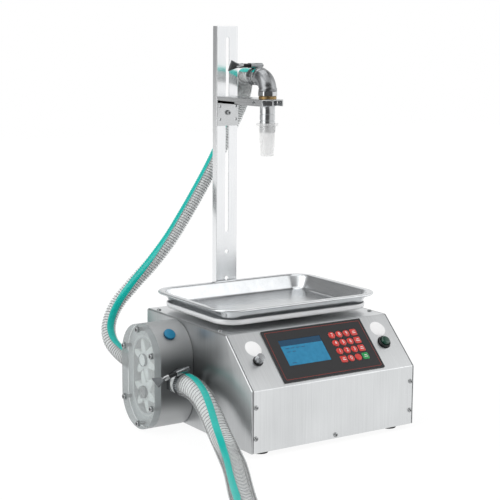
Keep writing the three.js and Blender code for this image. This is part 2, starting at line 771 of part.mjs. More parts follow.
// Pump places shared by its pieces
const rotorSpacing = rotorTipRadius + rotorRootRadius + rotorMeshGap;
const pumpWidth = 2 * (rotorTipRadius + pumpSideWall);
const pumpHeight = rotorSpacing + 2 * (rotorTipRadius + pumpEndWall);
const pumpInner = -halfWidth - seatGap;
const pumpFace = pumpInner - pumpBodyLength;
const coverInner = pumpFace - seatGap;
const coverFace = coverInner - coverThickness;
const lowerRotorHeight = pumpCentreHeight - rotorSpacing / 2;
const upperRotorHeight = pumpCentreHeight + rotorSpacing / 2;
const pocketRadius = rotorTipRadius + pocketClearance;
const pocketDepth = rotorLength + 2 * runningGap;
const pumpFront = pumpCentreDepth - pumpWidth / 2;
const pumpBack = pumpCentreDepth + pumpWidth / 2;
const portAcross = -halfWidth - portSetback;
const plugAcross = -halfWidth - plugSetback;
const sealOuterWidth = 2 * (pocketRadius + sealMargin + sealWidth);
const sealOuterHeight = rotorSpacing + sealOuterWidth;

const screwCircle = pumpWidth / 2 - coverScrewEdge;
const screwSide = screwCircle * Math.cos(coverScrewAngle);
const screwRise = (pumpHeight - pumpWidth) / 2 + screwCircle * Math.sin(coverScrewAngle);
const coverScrewPlaces = [
  [0, pumpHeight / 2 - coverScrewEdge], [0, coverScrewEdge - pumpHeight / 2],
  [screwSide, screwRise], [screwSide, -screwRise], [-screwSide, screwRise], [-screwSide, -screwRise]];

function placeAtPump(solid) {
  return solid.translate([0, pumpCentreDepth, pumpCentreHeight]);
}

function sealOutline(inset) {
  return obround(sealOuterWidth - 2 * inset, sealOuterHeight - 2 * inset, 0, 0);
}

// Pump body: an obround block with the rotor pocket open to the cover, and the cover's screws in it
function makePumpBody() {
  const outline = obround(pumpWidth, pumpHeight, 0, 0);
  let body = extrudeX(outline, pumpFace, pumpInner, 5);
  const pocket = obround(2 * pocketRadius, rotorSpacing + 2 * pocketRadius, 0, 0);
  body = body.subtract(extrudeX(pocket, pumpFace - overrun, pumpFace + pocketDepth, 4));
  const grooveFloor = pumpFace + sealHeight;
  const groove = extrudeX(sealOutline(-seatGap), pumpFace - overrun, grooveFloor);
  const core = extrudeX(sealOutline(sealWidth + seatGap), pumpFace - overrun, grooveFloor + overrun);
  body = body.subtract(groove.subtract(core));
  const bearingBore = rotorShaftDiameter + 2 * seatGap;
  for (const height of [-rotorSpacing / 2, rotorSpacing / 2]) {
    const end = height > 0 ? pumpFace + pocketDepth + idlerShaftLength : pumpInner + overrun;
    body = body.subtract(alongX(disc(bearingBore, pumpFace, end)).translate([0, 0, height]));
  }
  for (const [hose, front] of [[suctionHose, true], [deliveryHose, false]]) {
    const thread = portThreadDiameter(hose) + 2 * seatGap;
    const from = front ? -pumpWidth / 2 - overrun : 0;
    const to = front ? 0 : pumpWidth / 2 + overrun;
    body = body.subtract(alongY(disc(thread, from, to)).translate([portAcross, 0, 0]));
  }
  const plugHole = disc(plugSpigotDiameter + 2 * seatGap, -plugSpigotLength - overrun, overrun);
  body = body.subtract(plugPlace(plugHole));
  for (const [depth, height] of coverScrewPlaces) {
    body = body.add(coverScrew().translate([0, depth, height]));
  }
  add('pump_body', placeAtPump(body), 'cast');
}

// Cap screw along X: its shank stands in the body, its head lies in the cover's counterbore
function coverScrew() {
  const headBottom = coverFace + coverScrewSink - seatGap;
  const headTop = headBottom - coverScrewHeadHeight;
  const head = disc(coverScrewHead, headTop, headBottom, 14);
  const socket = extrudeZ(hexagon(coverScrewSocket), headTop - overrun, headTop + coverScrewSocketDepth);
  const shank = disc(coverScrewDiameter, headBottom - overrun / 2, pumpFace + overrun, 8);
  return alongX(head.subtract(socket)).add(alongX(shank));
}

// Where the filling plug stands, square to the round shoulder of the pump
function plugPlace(solid) {
  const radius = pumpWidth / 2;
  const lean = THREE.MathUtils.radToDeg(Math.PI / 2 - plugAngle);
  return solid.translate([0, 0, radius]).rotate([lean, 0, 0])
    .translate([plugAcross, 0, pumpHeight / 2 - radius]);
}

function makePlug() {
  const plug = disc(plugDiameter, seatGap, plugHeight)
    .add(disc(plugSpigotDiameter, -plugSpigotLength, plugHeight / 2));
  add('pump_plug', placeAtPump(plugPlace(plug)), 'blue');
}

// Clear cover, bored for the screws and recessed for the rotor bosses
function makePumpCover() {
  const outline = obround(pumpWidth, pumpHeight, 0, 0);
  let cover = extrudeX(outline, coverFace, coverInner, 5);
  const before = coverFace - overrun;
  const bore = disc(coverScrewDiameter + 2 * seatGap, before, coverInner + overrun, 10);
  const sink = disc(coverScrewHead + 2 * seatGap, before, coverFace + coverScrewSink, 14);
  for (const [depth, height] of coverScrewPlaces) {
    cover = cover.subtract(alongX(bore.add(sink)).translate([0, depth, height]));
  }
  for (const height of [-rotorSpacing / 2, rotorSpacing / 2]) {
    const recess = alongX(disc(
      bossDiameter + 2 * runningGap, coverInner - bossHeight - bossRecess, coverInner + overrun, 18));
    cover = cover.subtract(recess.translate([0, 0, height]));
  }
  add('pump_cover', placeAtPump(cover), 'clear');
}

function makeSeal() {
  const outer = extrudeX(sealOutline(0), pumpFace, pumpFace + sealHeight - seatGap);
  const inner = extrudeX(sealOutline(sealWidth), pumpFace - overrun, pumpFace + sealHeight);
  add('cover_seal', placeAtPump(outer.subtract(inner)), 'seal');
}

// Rotors: six round lobes from one formula; two alike mesh half a lobe apart
function rotorOutline() {
  const points = [];
  const count = rotorLobes * rotorPointsPerLobe;
  for (let step = 0; step < count; step += 1) {
    const angle = (step / count) * Math.PI * 2;
    const rise = (0.5 + 0.5 * Math.cos(rotorLobes * angle)) ** lobeSharpness;
    const radius = rotorRootRadius + (rotorTipRadius - rotorRootRadius) * rise;
    points.push([radius * Math.cos(angle), radius * Math.sin(angle)]);
  }
  return polygon(points);
}

function makeRotor(name, height, shaftLength) {
  const from = pumpFace + runningGap;
  const to = from + rotorLength;
  const lobes = extrudeX(rotorOutline(), from, to).rotate([THREE.MathUtils.radToDeg(rotorPhase), 0, 0]);
  const boss = alongX(disc(bossDiameter, from - bossHeight - runningGap, from + overrun, 18));
  const shaft = alongX(disc(rotorShaftDiameter, to - overrun, to + shaftLength, 16));
  const rotor = lobes.add(boss).add(shaft);
  add(name, rotor.translate([0, pumpCentreDepth, height]), 'nylon');
}

function makeRotors() {
  makeRotor('upper_rotor', upperRotorHeight, idlerShaftLength - runningGap - seatGap);
  makeRotor('lower_rotor', lowerRotorHeight, driveShaftLength);
}

// Screwed hose tails on the pump's front and back flats
function portThreadDiameter(hose) {
  return hose.bore - 2 * portThreadStep;
}

function makePort(name, hose, front) {
  const bore = portThreadDiameter(hose) - 2 * portWall;
  const port = disc(portThreadDiameter(hose), -portThreadLength, overrun)
    .add(disc(hose.outer + 2 * portFlangeLip, seatGap, portFlange, 6))
    .add(hoseTail(hose, tailLength).translate([0, 0, portFlange - seatGap]))
    .subtract(disc(bore, -portThreadLength - overrun, portFlange + tailLength + overrun));
  const turned = front ? port.rotate([90, 0, 0]) : port.rotate([-90, 0, 0]);
  add(name, turned.translate([portAcross, front ? pumpFront : pumpBack, pumpCentreHeight]), 'polished');
}

function makePortsAndClamps() {
  makePort('suction_port', suctionHose, true);
  makePort('delivery_port', deliveryHose, false);
  const setback = portFlange + seatGap + clampSetback;
  const placeSuction = (solid) => solid.rotate([90, 0, 0]).rotate([0, suctionClampTurn, 0])
    .translate([portAcross, pumpFront - setback, pumpCentreHeight]);
  add('suction_clamp', placeSuction(thumbClamp(suctionHose)), 'polished');
  add('suction_thumb_key', placeSuction(thumbKey(suctionHose, suctionKeyLean)), 'darkSteel');
  const deliveryClamp = plainClamp(deliveryHose).rotate([90, 0, 0])
    .translate([portAcross, pumpBack + setback, pumpCentreHeight]);
  add('delivery_clamp', deliveryClamp, 'polished');
}

// Gear motor: bolted behind the left panel, bored for the lower rotor's shaft
function makeMotor() {
  const start = -halfWidth + sheet + seatGap;
  let motor = disc(motorFlangeDiameter, start, start + motorFlangeLength, 32)
    .add(disc(motorDiameter, start + motorFlangeLength - seatGap, start + motorLength, 32));
  const shaftEnd = pumpFace + runningGap + rotorLength + driveShaftLength;
  const bore = disc(rotorShaftDiameter + 2 * seatGap, start - overrun, shaftEnd + runningGap);
  motor = alongX(motor.subtract(bore));
  add('pump_motor', motor.translate([0, pumpCentreDepth, lowerRotorHeight]), 'motor');
}

// Pan drawn through rounded rectangles: each step of the profile is an inset from the rim and a height
function pan(size, profile, cornerSteps = 5) {
  const positions = [];
  const index = [];
  const ring = 4 * (cornerSteps + 1);
  for (const [inset, height] of profile) {
    const radius = size.corner - inset;
    const across = size.width / 2 - inset - radius;
    const along = size.depth / 2 - inset - radius;
    const quarters = [[1, 1], [-1, 1], [-1, -1], [1, -1]];
    quarters.forEach(([signX, signY], quarter) => {
      for (let step = 0; step <= cornerSteps; step += 1) {
        const angle = (quarter + step / cornerSteps) * Math.PI / 2;
        positions.push(
          signX * across + radius * Math.cos(angle), signY * along + radius * Math.sin(angle), height);
      }
    });
  }
  for (let level = 0; level < profile.length - 1; level += 1) {
    for (let point = 0; point < ring; point += 1) {
      const next = (point + 1) % ring;
      const low = level * ring;
      const high = low + ring;
      index.push(low + point, low + next, high + next, low + point, high + next, high + point);
    }
  }
  const last = profile.length - 1;
  const under = positions.length / 3;
  positions.push(0, 0, profile[0][1], 0, 0, profile[last][1]);
  for (let point = 0; point < ring; point += 1) {
    const next = (point + 1) % ring;
    index.push(under, next, point);
    index.push(under + 1, last * ring + point, last * ring + next);
  }
  const geometry = new THREE.BufferGeometry();
  geometry.setAttribute('position', new THREE.Float32BufferAttribute(positions, 3));
  geometry.setIndex(index);
  return toSolid(geometry);
}

// Tray support: a shallow pan on a post that passes through the top to the load cell
const supportLow = topLevel + supportLift;
const trayLow = supportLow + supportWall + seatGap;
const cellTop = loadCellCentreHeight + loadCell.height / 2;
const cellLow = loadCellCentreHeight - loadCell.height / 2;
function makeTraySupport() {
  const support = pan(supportSize, [
    [supportWall, supportLow], [0, supportLow + supportWall], [0, supportLow + supportHeight],
    [supportWall, supportLow + supportHeight], [supportWall, supportLow + supportWall]]);
  const postOutline = rectangle(postSize, postSize, postOffset, 0);
  const post = extrudeZ(postOutline, cellTop + seatGap, supportLow + supportWall / 2);
  add('tray_support', support.add(post).translate([0, platformDepth, 0]), 'cast');
}

// Weighing tray: a pressed pan with a flat rim and a rolled bead
function makeTray() {
  const rim = traySize.rim;
  const wallTop = trayBead + trayRimWidth;
  const wallLow = wallTop + trayWallRun;
  const tray = pan(traySize, [
    [wallLow + trayFillet, trayLow], [wallLow, trayLow + trayFillet],
    [wallTop, rim - trayWall - trayBead],
    [trayBead * 2, rim - trayWall], [trayBead * 2, rim - 2 * trayBead],
    [trayBead / 2, rim - 2 * trayBead], [0, rim - trayBead], [trayBead / 2, rim],
    [wallTop + trayWall, rim], [wallLow + trayWall, trayLow + trayFillet + trayWall],
    [wallLow + trayFillet + trayWall, trayLow + trayWall]]);
  add('weighing_tray', tray.translate([0, platformDepth, 0]), 'polished');
}

// Load cell: an aluminium bar thinned by a double bore, on a crossbar between the side panels
function makeLoadCell() {
  let bar = extrudeZ(rectangle(loadCell.length, loadCell.width, 0, 0), cellLow, cellTop);
  const bore = roundedRectangle(
    loadCellBore.length, loadCellBore.height, loadCellBore.corner, 0, loadCellCentreHeight);
  bar = bar.subtract(extrudeY(bore, -loadCell.width, loadCell.width));
  add('load_cell', bar.translate([0, platformDepth, 0]), 'cast');
}

function makeCrossbar() {
  const top = cellLow - seatGap - spacerHeight;
  const half = crossbarWidth / 2;
  const length = halfWidth - sheet - seatGap;
  const line = [[-half, top - crossbarHeight], [-half, top], [half, top], [half, top - crossbarHeight]];
  const bar = extrudeX(bentSheet(line, crossbarSheet), -length, length);
  const spacerOutline = rectangle(postSize, loadCell.width, -postOffset, 0);
  const spacer = extrudeZ(spacerOutline, top - crossbarSheet / 2, cellLow - seatGap);
  add('load_cell_crossbar', bar.add(spacer).translate([0, platformDepth, 0]), 'brushed');
}

// Control panel: film with its screen and sixteen keys, and a control at each side
function makeOverlay() {
  const low = overlayLift + overlayHeight / 2;
  const outline = roundedRectangle(overlayWidth, overlayHeight, overlayCorner, overlayMiddle, low);
  outline.holes.push(rectangle(
    lcdWidth + 2 * seatGap, lcdHeight + 2 * seatGap, lcdLeft + lcdWidth / 2, lcdLow + lcdHeight / 2));
  for (const key of keyPlaces()) {
    outline.holes.push(keyOutline(key, keySize + 2 * seatGap));
  }
  add('control_overlay', extrudeZ(outline, seatGap, overlayThickness, 2), 'film', slope);
  const screen = rectangle(lcdWidth, lcdHeight, lcdLeft + lcdWidth / 2, lcdLow + lcdHeight / 2);
  add('lcd_screen', extrudeZ(screen, seatGap, overlayThickness - seatGap), 'screen', slope);
}

// Keys run 7 8 9, 4 5 6, 1 2 3 from the top, with the function keys down the right side and at the corners
function keyPlaces() {
  const rows = [
    ['function_a', '0', 'point', 'function_go'], ['1', '2', '3', 'function_b'],
    ['4', '5', '6', 'function_c'], ['7', '8', '9', 'function_d']];
  return rows.flatMap((row, up) => row.map((name, across) => ({
    name, across: keyLeft + across * keyPitchAcross, up: keyLow + up * keyPitchUp })));
}

function keyOutline(key, size) {
  const half = size / 2;
  const cut = key.name.startsWith('function') ? half - keyCorner : half * Math.tan(Math.PI / 8);
  const corners = [[half, cut], [cut, half], [-cut, half], [-half, cut]];
  const outline = [...corners, ...corners.map(([x, y]) => [-x, -y])];
  return polygon(outline.map(([x, y]) => [key.across + x, key.up + y]));
}

function makeKeys() {
  const low = seatGap + keyTravel;
  for (const key of keyPlaces()) {
    const finish = key.name === 'function_go' ? 'greenKey' : 'redKey';
    add(`key_${key.name}`, makeKey(key, low), finish, slope);
  }
}

// A number key is a round dome, a function key a square one with cut corners
function makeKey(key, low) {
  const shoulder = low + keyThickness - keyDome;
  if (!key.name.startsWith('function')) {
    const radius = keySize / 2;
    const dome = turn([
      [0, low], [radius, low], [radius, shoulder], [radius - keyDome, low + keyThickness],
      [0, low + keyThickness]], 16);
    return dome.translate([key.across, key.up, 0]);
  }
  const plate = extrudeZ(keyOutline(key, keySize), low, shoulder);
  const crown = extrudeZ(keyOutline(key, keySize - 2 * keyDome), low + keyDome, low + keyThickness);
  return plate.add(crown);
}

// Flow knob: fluted, on a shaft through the slope, with a dark collar at its foot
function makeKnob() {
  const points = [];
  const count = knobFlutes * 4;
  for (let step = 0; step < count; step += 1) {
    const angle = (step / count) * Math.PI * 2;
    const radius = knobDiameter / 2 - knobFluteDepth * (1 - Math.cos(knobFlutes * angle)) / 2;
    points.push([radius * Math.cos(angle), radius * Math.sin(angle)]);
  }
  const low = seatGap;
  const knob = extrudeZ(polygon(points), low + knobCollarHeight - seatGap, low + knobHeight)
    .add(disc(knobCollarDiameter, low, low + knobCollarHeight))
    .add(disc(knobShaftDiameter, -knobHeight, low + knobCollarHeight, 20));
  add('flow_knob', knob.translate([-controlSide, controlLift, 0]), 'darkSteel', slope);
}

// Push button: a domed cap that slides in a round barrel with a raised bezel
function makeButton() {
  const capBore = buttonDiameter + 2 * runningGap;
  const edge = buttonBezelDiameter / 2;
  const middle = seatGap + buttonBezelHeight / 2;
  const high = seatGap + buttonBezelHeight;
  const lip = (capBore + buttonBarrelWall) / 2;
  const bezel = disc(buttonBarrelDiameter, -buttonBarrelLength, middle)
    .add(turn([[0, seatGap], [edge, seatGap], [edge, middle], [lip, high], [0, high]]))
    .subtract(disc(capBore, -buttonBarrelLength / 2, high + overrun));
  add('button_bezel', bezel.translate([controlSide, controlLift, 0]), 'black', slope);
  const radius = buttonDiameter / 2;
  const top = buttonBezelHeight + buttonHeight / 2;
  const low = top - buttonHeight - buttonTravel;
  const shoulder = [radius * capShoulderShare, top + buttonDome * capRiseShare];
  const cap = turn([[0, low], [radius, low], [radius, top], shoulder, [0, top + buttonDome]]);
  add('start_button', cap.translate([controlSide, controlLift, 0]), 'greenCap', slope);
}

// Ribbed hose: a rib is a low ring and a high ring of the outer skin, over a plain bore
function ribbedHose(route, hose) {
  const points = route.map(([x, y, z]) => new THREE.Vector3(x, y, z));
  const path = new THREE.CatmullRomCurve3(points, false, 'centripetal');
  path.arcLengthDivisions = 1200;
  const length = path.getLength();
  const straight = hose.outer;
  const pitch = (length - 2 * straight) / hose.ribs;
  const stations = [{ at: 0, high: true, bored: true }];
  for (let rib = 0; rib < hose.ribs; rib += 1) {
    const low = straight + rib * pitch;
    stations.push({ at: low, high: false, bored: rib % hose.ribsPerBoreRing === 0 });
    stations.push({ at: low + pitch / 2, high: true, bored: false });
  }
  stations.push({ at: length - straight, high: false, bored: true });
  stations.push({ at: length, high: true, bored: true });
  const frames = transportFrames(path, stations.map(({ at }) => at / length));
  const boreFrames = frames.filter((frame, ring) => stations[ring].bored);
  const positions = [];
  frames.forEach((frame, ring) => {
    pushRing(positions, frame, hose.outer / 2 - (stations[ring].high ? 0 : ribDepth));
  });
  const boreCorner = hose.bore / 2 / Math.cos(Math.PI / hoseSides);
  boreFrames.forEach((frame) => pushRing(positions, frame, boreCorner));
  const index = [];
  joinRings(index, 0, frames.length, false);
  const start = frames.length * hoseSides;
  joinRings(index, start, boreFrames.length, true);
  const lastOuter = start - hoseSides;
  const lastBore = start + (boreFrames.length - 1) * hoseSides;
  for (let side = 0; side < hoseSides; side += 1) {
    const next = (side + 1) % hoseSides;
    index.push(start + side, next, side, start + side, start + next, next);
    index.push(lastBore + side, lastOuter + side, lastOuter + next);
    index.push(lastBore + side, lastOuter + next, lastBore + next);
  }
  const geometry = new THREE.BufferGeometry();
  geometry.setAttribute('position', new THREE.Float32BufferAttribute(positions, 3));
  geometry.setIndex(index);
  geometry.computeVertexNormals();
  reportHose(path, length, hose);
  return geometry;
}

// Frames carried along the path without twisting
function transportFrames(path, shares) {
  let side = null;
  return shares.map((share) => {
    const tangent = path.getTangentAt(Math.min(share, 1)).normalize();
    if (!side) {
      side = new THREE.Vector3(0, 0, 1).cross(tangent).normalize();
    }
    side = side.clone().addScaledVector(tangent, -side.dot(tangent)).normalize();
    const up = new THREE.Vector3().crossVectors(tangent, side);
    return { centre: path.getPointAt(Math.min(share, 1)), side, up };
  });
}

function pushRing(positions, frame, radius) {
  for (let step = 0; step < hoseSides; step += 1) {
    const angle = ((step + 0.5) / hoseSides) * Math.PI * 2;
    const point = frame.centre.clone()
      .addScaledVector(frame.side, radius * Math.cos(angle))
      .addScaledVector(frame.up, radius * Math.sin(angle));
    positions.push(point.x, point.y, point.z);
  }
}

function joinRings(index, start, count, inwards) {
  for (let ring = 0; ring < count - 1; ring += 1) {
    for (let side = 0; side < hoseSides; side += 1) {
      const next = (side + 1) % hoseSides;
      const a = start + ring * hoseSides + side;
      const b = start + ring * hoseSides + next;
      const c = b + hoseSides;
      const d = a + hoseSides;
      if (inwards) {
        index.push(a, c, b, a, d, c);
      } else {
        index.push(a, b, c, a, c, d);
      }
    }
  }
}

// Length, tightest bend and least gap to itself, measured on points along the middle
function reportHose(path, length, hose) {
  const count = Math.round(length / (hose.outer / 4));
  const points = path.getSpacedPoints(count);
  let gap = Infinity;
  let bend = Infinity;
  const apart = Math.ceil((hose.outer * 2) / (length / count));
  for (let a = 0; a < points.length; a += 1) {
    for (let b = a + apart; b < points.length; b += 1) {
      gap = Math.min(gap, points[a].distanceTo(points[b]) - hose.outer);
    }
    if (a > 1 && a < points.length - 2) {
      const one = points[a].clone().sub(points[a - 2]).normalize();
      const two = points[a + 2].clone().sub(points[a]).normalize();
      bend = Math.min(bend, (2 * length) / count / Math.max(one.angleTo(two), 1e-6));
    }
  }
  console.log(`hose of ${hose.outer} mm: ${Math.round(length)} mm long, `
    + `tightest bend ${bend.toFixed(0)} mm, least gap to itself ${gap.toFixed(1)} mm`);
}

function makeHoses() {
  add('suction_hose', ribbedHose(suctionRoute, suctionHose), 'hose');
  add('delivery_hose', ribbedHose(deliveryRoute, deliveryHose), 'hose');
}

// Assembly
makeWrap();
makeSidePanel('left_side_panel', -1);
makeSidePanel('right_side_panel', 1);
makeBase();
makeBackPanel();
makeFeet();
makeMainsInlet();
makePole();
makeArmBracket();
makeClampBolt();
makeNozzleNutAndRing();
makeElbow();
makeNozzleTube();
makeNozzleTip();
makeNozzleClamp();
makePumpBody();
makePlug();
makePumpCover();
makeSeal();
makeRotors();
makePortsAndClamps();
makeMotor();
makeTraySupport();
makeTray();
makeLoadCell();
makeCrossbar();
makeOverlay();
makeKeys();
makeKnob();
makeButton();

slope.position.set(0, 0, frontTop);
slope.rotation.x = slopeAngle;
machine.add(slope);

// The origin is on the floor, in the middle of the rigid pieces' footprint
machine.updateMatrixWorld(true);
const footprint = new THREE.Box3().setFromObject(machine, true);
makeHoses();
machine.position.set(
  -(footprint.min.x + footprint.max.x) / 2, -(footprint.min.y + footprint.max.y) / 2, 0);

const part = new THREE.Group();
part.add(machine);

export default part;
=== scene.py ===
import math
import bmesh
import bpy
from mathutils import Matrix, Vector


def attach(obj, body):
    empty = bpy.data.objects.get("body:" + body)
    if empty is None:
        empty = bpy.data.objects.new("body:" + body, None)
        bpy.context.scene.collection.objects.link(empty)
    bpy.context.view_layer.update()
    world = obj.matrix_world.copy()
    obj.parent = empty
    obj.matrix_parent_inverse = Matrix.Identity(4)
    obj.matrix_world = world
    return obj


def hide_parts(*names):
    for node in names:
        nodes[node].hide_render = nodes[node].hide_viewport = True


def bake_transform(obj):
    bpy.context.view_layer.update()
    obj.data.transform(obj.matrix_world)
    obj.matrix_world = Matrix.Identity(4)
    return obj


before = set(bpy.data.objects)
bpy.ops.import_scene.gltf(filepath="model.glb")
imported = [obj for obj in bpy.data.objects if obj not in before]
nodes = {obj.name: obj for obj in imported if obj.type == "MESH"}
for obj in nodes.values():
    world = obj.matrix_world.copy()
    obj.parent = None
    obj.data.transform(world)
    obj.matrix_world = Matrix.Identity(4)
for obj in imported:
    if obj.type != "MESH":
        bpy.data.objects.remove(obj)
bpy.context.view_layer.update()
scene = bpy.context.scene


# ---------------------------------------------------------------- Camera
# The place, direction and lens were solved from the housing's corners and the pole in the photograph.
def linked(name, data):
    """A new object of the scene that holds the data."""
    made = bpy.data.objects.new(name, data)
    scene.collection.objects.link(made)
    return made


camera_data = bpy.data.cameras.new("camera")
camera_data.sensor_width = 36.0
camera_data.lens = 97.1
camera_data.clip_end = 30.0
camera = linked("camera", camera_data)
turn_to_right = Matrix.Rotation(math.radians(-33.54), 4, "Z")
tip_down = Matrix.Rotation(math.radians(90.0 - 9.14), 4, "X")
lean = Matrix.Rotation(math.radians(0.45), 4, "Z")
camera.matrix_world = Matrix.Translation((-1.29234, -1.93445, 0.6837)) @ turn_to_right @ tip_down @ lean
scene.camera = camera
scene.render.resolution_x = 1000
scene.render.resolution_y = 1000


# ---------------------------------------------------------------- Hoses
# Two hoses of clear soft plastic with a steel wire coil in the wall and a turquoise stripe. The suction
# hose is pushed over the pump's front tail, falls to the table and runs out of view, where its open end
# goes into the liquid. The delivery hose runs from the pump's rear tail round behind the pole to the
# elbow, and both its ends are clamped.
def at(x, y, z):
    """A place in the machine's millimetres, from its front middle on the floor, in metres of the frame."""
    return Vector((x * 0.001 + 0.04706, y * 0.001 - 0.18015, z * 0.001))


def linear(code):
    """An sRGB hex colour as the linear colour that the shader sockets take."""
    parts = [int(code[i:i + 2], 16) / 255.0 for i in (1, 3, 5)]
    return (*[c / 12.92 if c <= 0.04045 else ((c + 0.055) / 1.055) ** 2.4 for c in parts], 1.0)


def add_node(tree, kind, inputs=None, **settings):
    """A node with its settings, whose inputs take values or the outputs of other nodes."""
    made = tree.nodes.new(kind)
    for name, value in settings.items():
        setattr(made, name, value)
    for name, value in (inputs or {}).items():
        if isinstance(value, bpy.types.NodeSocket):
            tree.links.new(value, made.inputs[name])
        else:
            made.inputs[name].default_value = value
    return made


def maths(tree, operation, *values):
    """The result of an operation on one or two numbers."""
    return add_node(tree, "ShaderNodeMath", dict(enumerate(values)), operation=operation).outputs[0]


def vectors(tree, operation, *values):
    """The result of an operation on one or two vectors."""
    made = add_node(tree, "ShaderNodeVectorMath", dict(enumerate(values)), operation=operation)
    return made.outputs["Value" if operation in ("DOT_PRODUCT", "LENGTH") else "Vector"]


def mapped(tree, value, low, high, start=0.0, end=1.0, kind="LINEAR"):
    """The value, which runs from start to end, drawn out between low and high."""
    return add_node(tree, "ShaderNodeMapRange", {
        "Value": value, "From Min": start, "From Max": end, "To Min": low, "To Max": high},
        interpolation_type=kind).outputs["Result"]


def two_colours(tree, share, first, second):
    """The colour between two others, which are hex colours or outputs."""
    pair = [linear(colour) if isinstance(colour, str) else colour for colour in (first, second)]
    return add_node(tree, "ShaderNodeMixRGB", {
        "Fac": share, "Color1": pair[0], "Color2": pair[1]}).outputs[0]


def two_shaders(tree, share, first, second):
    """The shader between two others."""
    return add_node(tree, "ShaderNodeMixShader", {"Fac": share, 1: first, 2: second}).outputs[0]


def new_material(name, preview):
    """An empty node material and its tree."""
    made = bpy.data.materials.new(name)
    made.use_nodes = True
    made.node_tree.nodes.clear()
    made.diffuse_color = linear(preview)
    return made, made.node_tree


def object_place(tree):
    """The object's own coordinates."""
    return add_node(tree, "ShaderNodeTexCoord").outputs["Object"]


def object_noise(tree, scale, detail=3.0, roughness=0.5, stretch=(1.0, 1.0, 1.0)):
    """Noise over the object's own coordinates, from 0 to 1."""
    mapping = add_node(tree, "ShaderNodeMapping", {"Vector": object_place(tree), "Scale": stretch})
    return add_node(tree, "ShaderNodeTexNoise", {
        "Vector": mapping.outputs["Vector"], "Scale": scale, "Detail": detail,
        "Roughness": roughness}).outputs["Fac"]


def principled(tree, colour, roughness, **more):
    """A surface of a colour and a roughness, with more inputs where underscores stand for spaces."""
    inputs = {name.replace("_", " "): value for name, value in more.items()}
    return add_node(tree, "ShaderNodeBsdfPrincipled", {
        "Base Color": colour, "Roughness": roughness, **inputs}).outputs[0]


def output(tree, surface):
    """Puts the surface on the material."""
    add_node(tree, "ShaderNodeOutputMaterial", {"Surface": surface})


def see_through(name, preview, through, colour, roughness, haze, scale, detail=2.0, ior=1.5):
    """A clear material: light passes it, but for a slightly cloudy share that its glossy skin keeps."""
    made, tree = new_material(name, preview)
    share = mapped(tree, object_noise(tree, scale, detail), *haze)
    clear = add_node(tree, "ShaderNodeBsdfTransparent", {"Color": linear(through)}).outputs[0]
    output(tree, two_shaders(tree, share, clear, principled(tree, linear(colour), roughness, IOR=ior)))
    return made


ROUTE_PARTS = 24


def smooth_route(points, step):
    """Places a step apart along the smooth curve through the points of a route, and its length."""
    given = [at(*point) for point in points]
    given = [2 * given[0] - given[1]] + given + [2 * given[-1] - given[-2]]
    dense = []
    for a, b, c, d in zip(given, given[1:], given[2:], given[3:]):
        g0, g1, g2 = [(q - p).length ** 0.5 for p, q in ((a, b), (b, c), (c, d))]
        t1 = ((b - a) / g0 - (c - a) / (g0 + g1) + (c - b) / g1) * g1
        t2 = ((c - b) / g1 - (d - b) / (g1 + g2) + (d - c) / g2) * g1
        for part in range(ROUTE_PARTS):
            t = part / ROUTE_PARTS
            dense.append(b * (2 * t**3 - 3 * t**2 + 1) + t1 * (t**3 - 2 * t**2 + t)
                         + c * (3 * t**2 - 2 * t**3) + t2 * (t**3 - t**2))
    dense.append(given[-2])
    total = sum((q - p).length for p, q in zip(dense, dense[1:]))
    count = round(total / step)
    places, run, reach = [dense[0]], 0.0, total / count
    for p, q in zip(dense, dense[1:]):
        length = (q - p).length
        while run + length >= reach * len(places) and len(places) < count:
            places.append(p.lerp(q, (reach * len(places) - run) / length))
        run += length
    places.append(dense[-1])
    return places, total


def mesh_piece(name, vertices, faces, material, sharp):
    """A mesh object with even normals, smooth but for edges sharper than the angle."""
    mesh = bpy.data.meshes.new(name)
    mesh.from_pydata([tuple(v) for v in vertices], [], faces)
    work = bmesh.new()
    work.from_mesh(mesh)
    bmesh.ops.recalc_face_normals(work, faces=work.faces)
    work.to_mesh(mesh)
    work.free()
    mesh.shade_smooth()
    mesh.set_sharp_from_angle(angle=math.radians(sharp))
    for entry in material if isinstance(material, list) else [material]:
        mesh.materials.append(entry)
    return linked(name, mesh)


def skinned(name, loops, material, wrap, sharp):
    """The skin between loops of equally many points, with closed ends or on round to the first loop."""
    count = len(loops[0])
    pairs = list(zip(range(len(loops)), range(1, len(loops)))) + ([(len(loops) - 1, 0)] if wrap else [])
    faces = [(a * count + i, a * count + (i + 1) % count, b * count + (i + 1) % count, b * count + i)
             for a, b in pairs for i in range(count)]
    if not wrap:
        faces += [tuple(range(count))[::-1], tuple(range((len(loops) - 1) * count, len(loops) * count))]
    return mesh_piece(name, [v for loop in loops for v in loop], faces, material, sharp)


def ring(centre, out, across, radius, steps=48, start=0.0):
    """Places round a centre in the plane of two directions."""
    angles = [2 * math.pi * (i + start) / steps for i in range(steps)]
    return [centre + (out * math.cos(a) + across * math.sin(a)) * radius for a in angles]


STRIPE_REACH = 24


def guided(guides, share):
    """The direction that guides given by share of length have at a share."""
    for (start, first), (end, second) in zip(guides, guides[1:]):
        if share <= end:
            return Vector(first).lerp(Vector(second), (share - start) / (end - start))


